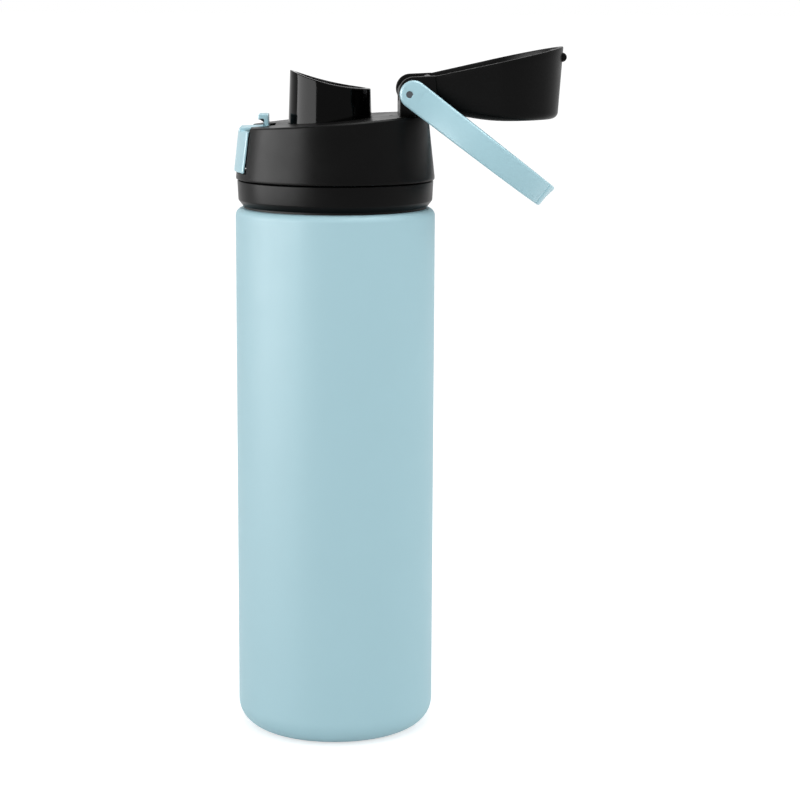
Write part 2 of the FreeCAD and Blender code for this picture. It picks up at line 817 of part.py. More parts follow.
def make_spout():
    body = new_body("spout")
    top = flange_top + dim.spout_height
    lean = tan(dim.spout_taper)
    deck_level = deck_height(dim.spout_offset)
    outer_top = dim.spout_radius - (top - deck_level) * lean
    turn(body, [
        Corner(spout_bore, flange_foot),
        Corner(dim.flange_radius, flange_foot),
        Corner(dim.flange_radius, flange_top),
        Corner(dim.spout_radius, flange_top),
        Corner(dim.spout_radius, deck_level),
        Corner(outer_top, top),
        Corner(outer_top - dim.spout_wall, top),
        Corner(spout_bore, deck_level),
    ])
    pad(body, "XZ_Plane", [
        Circle(dim.mouth_centre, mouth_centre_height(), dim.mouth_radius)
    ], 2 * wide, cuts=True, even=True)
    return place(body, dim.spout_offset, 0)


def mouth_centre_height():
    return flange_top + dim.mouth_floor + dim.mouth_radius


def make_vent_valve():
    body = new_body("vent_valve")
    bill_top = liner_underside
    bill_foot = bill_top - dim.vent_bill_height
    lip = dim.vent_radius + 0.5
    turn(body, [
        Corner(0, bill_foot),
        Corner(dim.vent_radius / 3, bill_foot),
        Corner(lip, bill_top - 1),
        Corner(lip, bill_top),
        Corner(dim.vent_radius, bill_top),
        Corner(dim.vent_radius, deck_underside),
        Corner(dim.vent_head_radius, deck_underside),
        Corner(dim.vent_head_radius, deck_underside + dim.vent_head_height),
        Corner(0, deck_underside + dim.vent_head_height),
    ])
    return place(body, dim.vent_offset, 0)


def make_spout_gasket():
    body = tube(
        "spout_gasket", spout_bore, dim.flange_radius, deck_underside, flange_foot
    )
    return place(body, dim.spout_offset, 0)


# Hinge


def make_hinge_pin():
    item = doc.addObject("Part::Cylinder", "hinge_pin")
    item.Label = "hinge_pin"
    bind(item, "Radius", dim.pin_radius)
    bind(item, "Height", 2 * pin_half_length)
    item.Placement = FreeCAD.Placement(
        V(number(dim.hinge_offset), number(pin_half_length), number(hinge_height)),
        FreeCAD.Rotation(V(1, 0, 0), 90),
    )
    bind(item, "Placement.Base.x", dim.hinge_offset)
    bind(item, "Placement.Base.y", pin_half_length)
    bind(item, "Placement.Base.z", hinge_height)
    return item


def make_cover_spring():
    """A torsion coil of square wire, with one leg in the block and one behind the cover."""
    wire = dim.coil_wire.value / 2
    radius = dim.coil_radius.value
    turns = dim.coil_turns.value
    length = dim.coil_pitch.value * turns
    lean = (dim.coil_radius - cover_foot) * tan(dim.cover_draft)
    reach = (dim.cover_back + lean - 2 * dim.ear_gap).value
    steps = 16 * int(math.ceil(turns))
    path = [V(radius, -slot_depth.value * part, 0) for part in (1.0, 0.66, 0.33)]
    for step in range(steps + 1):
        angle = 2 * math.pi * turns * step / steps
        rise = length * step / steps
        path.append(V(radius * math.cos(angle), radius * math.sin(angle), rise))
    path += [V(reach * part, -radius, length) for part in (0.33, 0.66, 1.0)]
    curve = Part.BSplineCurve()
    curve.interpolate(path)
    corners = [(1, 1), (-1, 1), (-1, -1), (1, -1), (1, 1)]
    section = Part.makePolygon([path[0] + V(wire * x, 0, wire * z) for x, z in corners])
    item = doc.addObject("Part::Feature", "cover_spring")
    item.Label = "cover_spring"
    item.Shape = Part.Wire(curve.toShape()).makePipeShell([section], True, False)
    item.Placement = FreeCAD.Placement(
        V(dim.hinge_offset.value, length / 2, hinge_height.value),
        FreeCAD.Rotation(V(1, 0, 0), 90),
    )
    return item


# Cover. Its pieces are drawn shut, from the hinge's axis, and then turned open.


def open_cover(item):
    return place(item, dim.hinge_offset, hinge_height, dim.cover_opening)


def cover_plan(inset):
    """Outline of the cover at the height of its lowest point, drawn in by inset."""
    radius = dim.cover_radius - inset
    back = -dim.cover_back - inset
    side = ear_outer - inset
    return [
        Corner(back, -side),
        Corner(back, side),
        Corner(-dim.cover_reach, radius),
        Corner(-dim.cover_reach - radius, 0, radius, "left"),
        Corner(-dim.cover_reach, -radius, radius, "left"),
    ]


def cover_top(lift):
    """Everything above the cover's top, which is bent once between front and back."""
    front = cover_front - dim.tab_radius
    return [
        Corner(front, dim.top_front_height + lift),
        Corner(-dim.top_bend, dim.top_middle_height + lift),
        Corner(-dim.cover_back, dim.top_back_height + lift),
        Corner(0, dim.top_back_height + lift - dim.cover_back / 2),
        Corner(0, wide),
        Corner(front, wide),
    ]


def cover_block(label, inset, top_lift):
    """The solid of the cover's outside, or with an inset that of its cavity."""
    body = new_body(label)
    pad(
        body, "XY_Plane", [cover_plan(inset)], dim.top_front_height - cover_foot + 1,
        lift=cover_foot, lean=dim.cover_draft,
    )
    pad(body, "XZ_Plane", [cover_top(top_lift)], 2 * wide, cuts=True, even=True)
    return body


def make_cover():
    shell = cover_block("cover_outside", 0, 0)
    round_edges(
        shell, dim.cover_round,
        lambda edge: edge.BoundBox.ZMin > dim.top_back_height.value / 2
        and edge.BoundBox.XLength > 1,
    )
    pad(shell, "XZ_Plane", [[
        Corner(-wide, rim_height(-wide)),
        Corner(-wide, rim_height(-wide) - wide),
        Corner(wide, rim_height(-wide) - wide),
        Corner(wide, rim_height(wide)),
    ]], 2 * wide, cuts=True, even=True)
    cavity = cover_block("cover_cavity", dim.cover_wall, -dim.cover_wall)
    hollow = combine("Part::Cut", "cover_hollow", shell, cavity)
    ears = make_cover_ears()
    trim = new_body("cover_trim")
    rim = rim_height(cover_front)
    wall_face = cover_front + dim.tab_height * tan(dim.cover_draft)
    pad(
        trim, "XZ_Plane",
        [Circle(wall_face + 0.2 * dim.tab_radius, rim + dim.tab_height, dim.tab_radius)],
        2 * dim.tab_half_width, even=True,
    )
    inner_face = cover_front + dim.cover_wall
    catch = new_body("cover_catch")
    pad(catch, "XZ_Plane", [box_outline(
        inner_face - dim.cover_wall / 2,
        inner_face + dim.catch_depth,
        rim + dim.catch_height / 2,
        rim + dim.catch_height * 1.5,
    )], 2 * dim.catch_half_width, even=True)
    cover = combine("Part::MultiFuse", "flip_cover", hollow, ears, trim, catch)
    return open_cover(cover)


def make_cover_ears():
    """Two ears beside the hinge block, with the pin's bores."""
    body = new_body("cover_ears")
    offset = -dim.ear_offset
    pad(
        body, "XZ_Plane", [Circle(offset, 0, dim.ear_radius)], 2 * ear_outer, even=True
    )
    web_low = rim_height(-dim.cover_back) + 0.2
    pad(body, "XZ_Plane", [box_outline(
        -dim.cover_back - 1.5 * dim.cover_wall, offset, web_low, dim.top_back_height - 1.5
    )], 2 * (ear_outer - dim.cover_wall), even=True)
    pad(
        body, "XZ_Plane",
        [box_outline(-wide, wide, -wide, wide)], 2 * ear_inner, cuts=True, even=True,
    )
    pad(body, "XZ_Plane", [Circle(0, 0, pin_bore)], 2 * wide, cuts=True, even=True)
    return body


def mouth_cut(radius_change, outer):
    """The band of the XZ plane between the mouth's arc and a far larger one."""
    x = dim.mouth_centre + dim.spout_offset - dim.hinge_offset
    z = mouth_centre_height() - hinge_height
    radius = dim.mouth_radius - radius_change
    if outer:
        return [Circle(x, z, radius), Circle(x, z, radius + wide)]
    return [Circle(x, z, radius)]


def make_cover_seal():
    """The soft disc that closes the spout, hollow as the mouth is."""
    body = new_body("cover_seal")
    centre = dim.spout_offset - dim.hinge_offset
    pad(
        body, "XY_Plane", [Circle(centre, 0, dim.seal_radius)],
        2 * dim.seal_radius, lift=-dim.seal_radius / 2,
    )
    pad(body, "XZ_Plane", mouth_cut(dim.seal_gap, True), 2 * wide, cuts=True, even=True)
    back = dim.seal_gap + dim.seal_thickness
    pad(body, "XZ_Plane", mouth_cut(back, False), 2 * wide, cuts=True, even=True)
    return open_cover(body)


def make_seal_carrier():
    """The boss between the cover's top and its seal."""
    body = new_body("seal_carrier")
    centre = dim.spout_offset - dim.hinge_offset
    pad(
        body, "XY_Plane", [Circle(centre, 0, dim.seal_radius - 0.8)],
        2 * dim.seal_radius, lift=-dim.seal_radius / 2,
    )
    back = dim.seal_gap + dim.seal_thickness
    pad(body, "XZ_Plane", mouth_cut(back, True), 2 * wide, cuts=True, even=True)
    pad(body, "XZ_Plane", [cover_top(-dim.cover_wall)], 2 * wide, cuts=True, even=True)
    return open_cover(body)


# Handle. It is drawn level, from the hinge's axis, and then turned down.


def make_handle():
    body = new_body("carry_handle")
    inner = dim.loop_inner_radius
    outer = dim.loop_outer_radius
    centre = dim.handle_centre
    flat = dim.boss_length
    end = dim.arm_shift - dim.arm_round - 1
    depth = 4 * dim.arm_round
    pad(body, "XY_Plane", [[
        Corner(end, -arm_outer),
        Corner(flat, -arm_outer),
        Corner(centre, -outer),
        Corner(centre + outer, 0, outer, "left"),
        Corner(centre, outer, outer, "left"),
        Corner(flat, arm_outer),
        Corner(end, arm_outer),
        Corner(end, arm_inner),
        Corner(flat, arm_inner),
        Corner(centre, inner),
        Corner(centre + inner, 0, inner, "right"),
        Corner(centre, -inner, inner, "right"),
        Corner(flat, -arm_inner),
        Corner(end, -arm_inner),
    ]], depth, even=True)
    pad(body, "XZ_Plane", handle_side(depth), 2 * wide, cuts=True, even=True)
    pad(body, "XZ_Plane", [Circle(0, 0, pin_bore)], 2 * wide, cuts=True, even=True)
    return place(body, dim.hinge_offset, hinge_height, dim.handle_droop)


def handle_side(depth):
    """Everything beside the arm's outline, seen along the hinge."""
    far = 2 * dim.handle_centre + dim.loop_outer_radius
    round_end = dim.arm_round
    bottom = dim.arm_rise - round_end
    return [
        box_outline(-2 * round_end, far, -depth, depth),
        [
            Corner(dim.arm_shift, bottom, round_end, "left"),
            Corner(dim.tip_lower_reach, -dim.tip_lower),
            Corner(dim.tip_upper_reach, dim.tip_upper),
            Corner(dim.arm_shift, dim.arm_rise + round_end),
            Corner(dim.arm_shift - round_end, dim.arm_rise, round_end, "left"),
        ],
    ]


# Latch


def make_latch():
    body = new_body("latch_button")
    low = lid_foot + dim.latch_bottom
    high = lid_foot + dim.latch_top
    outer_low = lid_wall_radius(low) + dim.latch_proud
    outer_high = lid_wall_radius(high) + dim.latch_proud
    half = dim.latch_half_width
    turn(body, [
        Corner(-outer_low, low),
        Corner(-outer_high, high),
        Corner(-(outer_high - dim.latch_plate), high),
        Corner(-(outer_low - dim.latch_plate), low),
    ], angle=2 * half_angle(half + dim.lid_wall, outer_high))
    pad(body, "XY_Plane", [
        box_outline(-wide, wide, half, wide),
        box_outline(-wide, wide, -wide, -half),
    ], wide, cuts=True, lift=low + wide)
    underside = bridge_underside()
    top = underside + dim.bridge_thickness
    pad(body, "XZ_Plane", [[
        Corner(-outer_high + 0.6, underside),
        Corner(-dim.hook_back, underside),
        Corner(-dim.hook_back, top + 0.4),
        Corner(-outer_high + 0.6, top),
    ]], 2 * dim.bridge_half_width, even=True)
    stem = dim.hook_back + dim.hook_stem
    crown = top + dim.hook_height
    pad(body, "XZ_Plane", [[
        Corner(-stem, underside),
        Corner(-dim.hook_back, underside),
        Corner(-dim.hook_back, crown),
        Corner(-stem - dim.hook_reach, crown),
        Corner(-stem - dim.hook_reach, crown - dim.hook_nose),
        Corner(-stem, crown - dim.hook_nose),
    ]], 2 * dim.hook_half_width, even=True)
    return body


def make_latch_spring():
    """A bowed strip of spring steel between the recess's floor and the latch."""
    body = new_body("latch_spring")
    middle = lid_foot + (dim.latch_bottom + dim.latch_top) / 2
    half = dim.leaf_half_length
    foot = -dim.latch_floor_radius
    plate_face = lid_wall_radius(middle) + dim.latch_proud - dim.latch_plate
    bow = leg(plate_face, dim.leaf_half_width) - dim.latch_floor_radius - 0.1
    inner_bow = bow - dim.leaf_thickness
    outer_radius = (half * half + bow * bow) / (2 * bow)
    inner_half = half - dim.leaf_thickness * 2
    inner_radius = (inner_half * inner_half + inner_bow * inner_bow) / (2 * inner_bow)
    pad(body, "XZ_Plane", [[
        Corner(foot, middle - half, outer_radius, "left"),
        Corner(foot, middle - inner_half),
        Corner(foot, middle + inner_half, inner_radius, "right"),
        Corner(foot, middle + half),
    ]], 2 * dim.leaf_half_width, even=True)
    return body


subparts = [
    make_outer_shell(),
    make_outer_base(),
    make_vacuum_plug(),
    make_inner_flask(),
    make_getter(),
    make_collar(),
    tube(
        "collar_seal", dim.collar_radius - dim.collar_foot_inset - dim.collar_wall,
        dim.collar_radius - dim.collar_foot_inset - 0.4, dim.body_height, collar_foot,
    ),
    tube(
        "neck_gasket", gasket_radius - dim.gasket_width, gasket_radius,
        lip_top + dim.gasket_play, lip_top + dim.gasket_play + dim.gasket_height,
    ),
    make_lid_body(),
    make_liner(),
    make_spout(),
    make_spout_gasket(),
    make_vent_valve(),
    make_hinge_pin(),
    make_cover_spring(),
    make_cover(),
    make_cover_seal(),
    make_seal_carrier(),
    make_handle(),
    make_latch(),
    make_latch_spring(),
]
doc.recompute()

for item in doc.Objects:
    if "Invalid" in item.State or "Error" in item.State:
        raise RuntimeError("%s is %s" % (item.Name, item.State))
for item in subparts:
    if item.Shape.isNull() or not item.Shape.isValid() or item.Shape.Volume <= 0:
        raise RuntimeError("%s has no valid shape" % item.Label)

os.makedirs("parts", exist_ok=True)
for item in subparts:
    item.Shape.exportStep("parts/%s.step" % item.Label)
    print("%-16s %9.1f mm3  %d solid(s)" % (
        item.Label, item.Shape.Volume, len(item.Shape.Solids)
    ))
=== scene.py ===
import logging
import math
from dataclasses import dataclass, field
from enum import Enum

import bmesh
import bpy
import numpy as np
from mathutils import Matrix


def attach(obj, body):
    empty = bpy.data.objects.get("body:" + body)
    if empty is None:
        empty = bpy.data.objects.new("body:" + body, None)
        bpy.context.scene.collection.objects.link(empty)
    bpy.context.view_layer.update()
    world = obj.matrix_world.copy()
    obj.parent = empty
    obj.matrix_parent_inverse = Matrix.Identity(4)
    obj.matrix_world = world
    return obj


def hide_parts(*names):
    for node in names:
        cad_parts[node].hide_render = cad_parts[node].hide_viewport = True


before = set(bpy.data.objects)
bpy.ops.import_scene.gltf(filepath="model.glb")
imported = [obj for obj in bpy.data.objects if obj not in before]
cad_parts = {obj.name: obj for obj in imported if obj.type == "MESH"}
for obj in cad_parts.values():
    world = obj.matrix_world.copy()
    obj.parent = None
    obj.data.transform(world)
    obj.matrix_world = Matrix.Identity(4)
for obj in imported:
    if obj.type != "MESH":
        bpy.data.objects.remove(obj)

# The looks of a double-walled sports bottle with a flip cover and a carry loop.
# Sizes are in millimetres, in the row's frame, and become metres when a mesh is written.

MM = 0.001
SEGMENTS = 192
MERGE = 2e-6
SHARP = 32
HINGE = (26.2, 236.9)
LOG = logging.getLogger("bottle")
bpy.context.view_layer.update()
Value = float | np.ndarray


class Body(Enum):
    """The rigid bodies that pieces ride on."""

    BOTTLE = "bottle"
    LID = "lid"
    COVER = "cover"
    HANDLE = "handle"
    LATCH = "latch"


class Slot(Enum):
    """The record's material slots."""

    PAINT = "body_paint"
    STEEL = "steel"
    SPRING = "spring_steel"
    BLACK = "black_plastic"
    GLOSS = "black_gloss"
    BLUE = "blue_plastic"
    SILICONE = "silicone"


def linear(colour: tuple[float, float, float]) -> tuple[float, float, float, float]:
    """Turns a display colour into a shader's linear one.

    Args:
        colour: red, green and blue from 0 to 255, as they look on a display.

    Returns:
        Linear red, green, blue and an alpha of 1.
    """
    part = np.array(colour, float) / 255
    low = part / 12.92
    high = ((part + 0.055) / 1.055) ** 2.4
    return (*np.where(part <= 0.04045, low, high).tolist(), 1.0)


@dataclass(frozen=True)
class Nodes:
    """A material's node tree, its shader and the point at which noise is read."""

    tree: bpy.types.NodeTree
    shader: bpy.types.Node
    point: bpy.types.NodeSocket

    def noise(self, size: float, detail: float, target: bpy.types.NodeSocket) -> None:
        """Adds a noise and feeds a socket with it.

        Args:
            size: about how wide its features are, in millimetres.
            detail: how many finer layers it has.
            target: the socket.
        """
        noise = self.tree.nodes.new("ShaderNodeTexNoise")
        noise.inputs["Scale"].default_value = 1 / (size * MM)
        noise.inputs["Detail"].default_value = detail
        self.tree.links.new(self.point, noise.inputs["Vector"])
        self.tree.links.new(noise.outputs["Fac"], target)


@dataclass(frozen=True)
class Finish:
    """One material: a colour, a gloss and a fine relief, all from procedural noise."""

    name: str
    slot: Slot
    colour: tuple[float, float, float]
    roughness: float
    metallic: float = 0.0
    specular: float = 0.5
    grain_size: float = 0.5
    grain_depth: float = 0.0
    gloss_size: float = 9.0
    gloss_spread: float = 0.04
    tone_size: float = 24.0
    tone_spread: float = 0.02
    stretch: float = 1.0

    def build(self) -> bpy.types.Material:
        """Makes the material, or returns the one already made.

        Returns:
            The material with its node tree.
        """
        made = bpy.data.materials.get(self.name)
        if made is not None:
            return made
        material = bpy.data.materials.new(self.name)
        material.use_nodes = True
        tree = material.node_tree
        shader = tree.nodes["Principled BSDF"]
        shader.inputs["Metallic"].default_value = self.metallic
        shader.inputs["Specular IOR Level"].default_value = self.specular
        place = tree.nodes.new("ShaderNodeTexCoord")
        scale = tree.nodes.new("ShaderNodeMapping")
        scale.inputs["Scale"].default_value = (1.0, 1.0, self.stretch)
        tree.links.new(place.outputs["Object"], scale.inputs["Vector"])
        nodes = Nodes(tree, shader, scale.outputs["Vector"])
        self.add_tone(nodes)
        self.add_gloss(nodes)
        if self.grain_depth > 0:
            self.add_grain(nodes)
        return material

    def add_tone(self, nodes: Nodes) -> None:
        """Lets the colour drift slightly over the surface.

        Args:
            nodes: the material's nodes.
        """
        mix = nodes.tree.nodes.new("ShaderNodeMix")
        mix.data_type = "RGBA"
        base = np.array(linear(self.colour))
        low = base * (1 - self.tone_spread)
        high = np.minimum(base * (1 + self.tone_spread), 1.0)
        mix.inputs[6].default_value = (*low[:3].tolist(), 1.0)
        mix.inputs[7].default_value = (*high[:3].tolist(), 1.0)
        nodes.noise(self.tone_size, 3.0, mix.inputs[0])
        nodes.tree.links.new(mix.outputs[2], nodes.shader.inputs["Base Color"])

    def add_gloss(self, nodes: Nodes) -> None:
        """Lets the roughness drift, as on a handled surface.

        Args:
            nodes: the material's nodes.
        """
        spread = nodes.tree.nodes.new("ShaderNodeMapRange")
        spread.inputs["From Min"].default_value = 0.3
        spread.inputs["From Max"].default_value = 0.7
        spread.inputs["To Min"].default_value = max(self.roughness - self.gloss_spread, 0.02)
        spread.inputs["To Max"].default_value = min(self.roughness + self.gloss_spread, 1.0)
        nodes.noise(self.gloss_size, 5.0, spread.inputs["Value"])
        nodes.tree.links.new(spread.outputs["Result"], nodes.shader.inputs["Roughness"])

    def add_grain(self, nodes: Nodes) -> None:
        """Adds the fine relief of a moulded or powder-coated surface.

        Args:
            nodes: the material's nodes.
        """
        bump = nodes.tree.nodes.new("ShaderNodeBump")
        bump.inputs["Strength"].default_value = 1.0
        bump.inputs["Distance"].default_value = self.grain_depth * MM
        nodes.noise(self.grain_size, 4.0, bump.inputs["Height"])
        nodes.tree.links.new(bump.outputs["Normal"], nodes.shader.inputs["Normal"])


PAINT = Finish("powder_coat_blue", Slot.PAINT, (173, 210, 220), 0.5, specular=0.2,
               grain_size=0.35, grain_depth=0.012, tone_spread=0.015)
STEEL = Finish("brushed_steel", Slot.STEEL, (190, 190, 192), 0.3, metallic=1.0,
               grain_size=0.6, grain_depth=0.004, stretch=0.05)
# Painted shade: the pin's steel is darkened to stand in for the shade inside the loop's pin
# hole.
SHADED_PIN_STEEL = Finish("pin_steel_painted_shade", Slot.STEEL, (82, 86, 90), 0.3, metallic=1.0)
SPRING_STEEL = Finish("spring_steel", Slot.SPRING, (165, 165, 170), 0.25, metallic=1.0)
SATIN_BLACK = Finish("satin_black", Slot.BLACK, (8, 8, 8), 0.34, specular=0.065,
                     grain_size=0.3, grain_depth=0.012, gloss_spread=0.05)
GLOSS_BLACK = Finish("gloss_black", Slot.GLOSS, (3, 3, 3), 0.08, specular=0.06,
                     gloss_spread=0.02)
SATIN_BLUE = Finish("satin_blue", Slot.BLUE, (170, 210, 221), 0.36, specular=0.45,
                    tone_spread=0.012)
SILICONE = Finish("silicone_grey", Slot.SILICONE, (196, 198, 200), 0.6, specular=0.3)
BLACK_SILICONE = Finish("silicone_black", Slot.SILICONE, (12, 12, 12), 0.5, specular=0.1)
# Painted shade: the near-black, unreflecting colour of the disc that stands for the inside of
# the air hole.
SHADOW = Finish("air_hole_painted_shade", Slot.BLACK, (4, 4, 4), 0.9, specular=0.0)


# Surfaces


def linked(name: str, data: bpy.types.ID) -> bpy.types.Object:
    """Makes an object and puts it into the scene.

    Args:
        name: the object's name.
        data: its mesh, lamp or camera.

    Returns:
        The object.
    """
    thing = bpy.data.objects.new(name, data)
    bpy.context.scene.collection.objects.link(thing)
    return thing


@dataclass
class Surface:
    """A mesh put together from grids of points, each a function of two parameters."""

    name: str
    points: list[np.ndarray] = field(default_factory=list)
    faces: list[list[int]] = field(default_factory=list)
    count: int = 0

    def add(self, grid: np.ndarray, ring: bool = False, caps: bool = False) -> "Surface":
        """Adds a grid whose columns close round, as quads.

        Args:
            grid: points in millimetres, rows by columns by 3.
            ring: whether the last row joins the first one.
            caps: whether a fan to the middle closes the first and the last row.

        Returns:
            The surface itself.
        """
        rows, columns = grid.shape[:2]
        index = np.arange(rows * columns).reshape(rows, columns) + self.count
        start, end = index[0], index[-1]
        if ring:
            index = np.vstack([index, index[:1]])
        index = np.hstack([index, index[:, :1]])
        corners = [index[:-1, :-1], index[:-1, 1:], index[1:, 1:], index[1:, :-1]]
        self.faces += np.stack(corners, -1).reshape(-1, 4).tolist()
        self.points.append(grid.reshape(-1, 3))
        self.count += rows * columns
        if caps:
            for row, line in ((start, grid[0]), (end, grid[-1])):
                self.points.append(line.mean(0)[None])
                centre = np.full(columns, self.count)
                fan = np.stack([row, np.roll(row, -1), centre], -1)
                self.faces += fan.tolist()
                self.count += 1
        return self

    def build(self, finish: Finish, body: Body, *nodes: str) -> bpy.types.Object:
        """Writes the mesh, dresses it and lets it ride on its body.

        Args:
            finish: the piece's material.
            body: the CAD body it moves with.
            nodes: the CAD nodes that it stands for.

        Returns:
            The finished object.
        """
        mesh = bpy.data.meshes.new(self.name)
        mesh.from_pydata((np.vstack(self.points) * MM).tolist(), [], self.faces)
        cleaned = bmesh.new()
        cleaned.from_mesh(mesh)
        bmesh.ops.remove_doubles(cleaned, verts=cleaned.verts, dist=MERGE)
        bmesh.ops.recalc_face_normals(cleaned, faces=cleaned.faces)
        cleaned.to_mesh(mesh)
        cleaned.free()
        mesh.shade_smooth()
        mesh.set_sharp_from_angle(angle=math.radians(SHARP))
        piece = linked(self.name, mesh)
        piece.data.materials.append(finish.build())
        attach(piece, body.value)
        if nodes:
            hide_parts(*nodes)
        LOG.info("%s: %d faces", self.name, len(mesh.polygons))
        return piece


def spokes(angle: np.ndarray) -> np.ndarray:
    """Unit vectors at these angles."""
    return np.stack([np.cos(angle), np.sin(angle)], -1)


def circle(radius: Value, height: Value, angle: np.ndarray,
           centre: float = 0.0) -> np.ndarray:
    """Points round a vertical axis: (centre + r cos a, r sin a, height).

    Args:
        radius: each point's distance from the axis.
        height: each point's height.
        angle: each point's angle.
        centre: the axis's place along X.

    Returns:
        The points, in the common shape of radius, height and angle.
    """
    return np.stack([
        centre + radius * np.cos(angle), radius * np.sin(angle), height + 0 * angle,
    ], -1)


def rounded(corners: list[tuple[float, float, float]], steps: int = 5) -> np.ndarray:
    """Rounds each corner of a closed outline by an arc that touches both its sides.

    Args:
        corners: x, y and the arc's radius for each corner.
        steps: how many parts each arc has.

    Returns:
        Points, steps + 1 for each corner, by 2.
    """
    table = np.array(corners, float)
    here, radius = table[:, :2], table[:, 2]
    back = np.roll(here, 1, 0) - here
    ahead = np.roll(here, -1, 0) - here
    back /= np.linalg.norm(back, axis=1)[:, None]
    ahead /= np.linalg.norm(ahead, axis=1)[:, None]
    half = np.arccos(np.clip((back * ahead).sum(1), -1, 1)) / 2
    inward = (back + ahead) / np.linalg.norm(back + ahead, axis=1)[:, None]
    centre = here + inward * (radius / np.sin(half))[:, None]
    first = here + back * (radius / np.tan(half))[:, None] - centre
    last = here + ahead * (radius / np.tan(half))[:, None] - centre
    start = np.arctan2(first[:, 1], first[:, 0])
    sweep = np.arctan2(last[:, 1], last[:, 0]) - start
    sweep = (sweep + math.pi) % (2 * math.pi) - math.pi
    angle = start[:, None] + sweep[:, None] * np.linspace(0, 1, steps + 1)
    return (centre[:, None] + spokes(angle) * radius[:, None, None]).reshape(-1, 2)


def lathe(profile: np.ndarray, centre: float = 0.0, segments: int = SEGMENTS) -> np.ndarray:
    """Turns a profile of radius and height about a vertical axis.

    Args:
        profile: points of radius and height.
        centre: the axis's place along X.
        segments: how many columns the turn has.

    Returns:
        A grid: each row is the circle of one point of the profile.
    """
    angle = np.linspace(0, 2 * math.pi, segments, endpoint=False)
    return circle(profile[:, :1], profile[:, 1:], angle, centre)


def outward(outline: np.ndarray) -> np.ndarray:
    """Finds the outward normals of a closed outline, square to the chord of its neighbours.

    Args:
        outline: points that run anticlockwise.

    Returns:
        One unit normal a point.
    """
    along = np.roll(outline, -1, 0) - np.roll(outline, 1, 0)
    normal = np.stack([along[:, 1], -along[:, 0]], -1)
    return normal / np.maximum(np.linalg.norm(normal, axis=1), 1e-9)[:, None]


def prism(outline: np.ndarray, low: float, high: float, bevel: float,
          spans: int = 1, hole: float = 0.0) -> np.ndarray:
    """Carries an outline in the XZ plane along Y, with rounded end edges.

    Args:
        outline: x and z of a closed outline, anticlockwise.
        low: where it starts along Y.
        high: where it ends along Y.
        bevel: radius of the end edges.
        spans: parts of its length.
        hole: radius of a hole about the outline's origin, which every ray from there leaves
            once, or 0 for none.

    Returns:
        A grid: each row is the outline, moved inwards along its normals by the row's inset,
        which at turn t of an end's quarter circle is bevel (1 - sin t). With a hole, the
        rows run on back through it.
    """
    turn = np.linspace(0, math.pi / 2, 4)
    rise, drawn = bevel * (1 - np.cos(turn)), bevel * (1 - np.sin(turn))
    middle = np.linspace(low + bevel, high - bevel, spans + 1)[1:-1]
    level = np.concatenate([low + rise, middle, (high - rise)[::-1]])
    inset = np.concatenate([drawn, 0 * middle, drawn[::-1]])
    flat = outline[None] - outward(outline)[None] * inset[:, None, None]
    if hole > 0:
        chamfer = 0.15
        spoke = outline / np.linalg.norm(outline, axis=1)[:, None]
        radius = hole + np.array([chamfer, 0, 0, chamfer])
        flat = np.concatenate([flat, spoke[None] * radius[:, None, None]])
        level = np.concatenate([level, [high, high - chamfer, low + chamfer, low]])
    side = np.broadcast_to(level[:, None], flat.shape[:2])
    return np.stack([flat[..., 0], side, flat[..., 1]], -1)


def mirrored(inner: float, outer: float) -> tuple[tuple[float, float], ...]:
    """The spans along Y of a piece and of its twin on the other side."""
    return (-outer, -inner), (inner, outer)


def turned(grid: np.ndarray, degrees: float) -> np.ndarray:
    """Turns points drawn round the hinge about +Y and moves them to the hinge.

    Args:
        grid: points measured from the hinge's axis.
        degrees: the turn about +Y.

    Returns:
        The points in the row's frame.
    """
    cos, sin = math.cos(math.radians(degrees)), math.sin(math.radians(degrees))
    x, z = grid[..., 0], grid[..., 2]
    return np.stack([
        HINGE[0] + x * cos + z * sin, grid[..., 1], HINGE[1] - x * sin + z * cos,
    ], -1)


def smooth(value: np.ndarray) -> np.ndarray:
    """The cubic step from 0 to 1, held flat outside."""
    part = np.clip(value, 0, 1)
    return part * part * (3 - 2 * part)


# Pieces


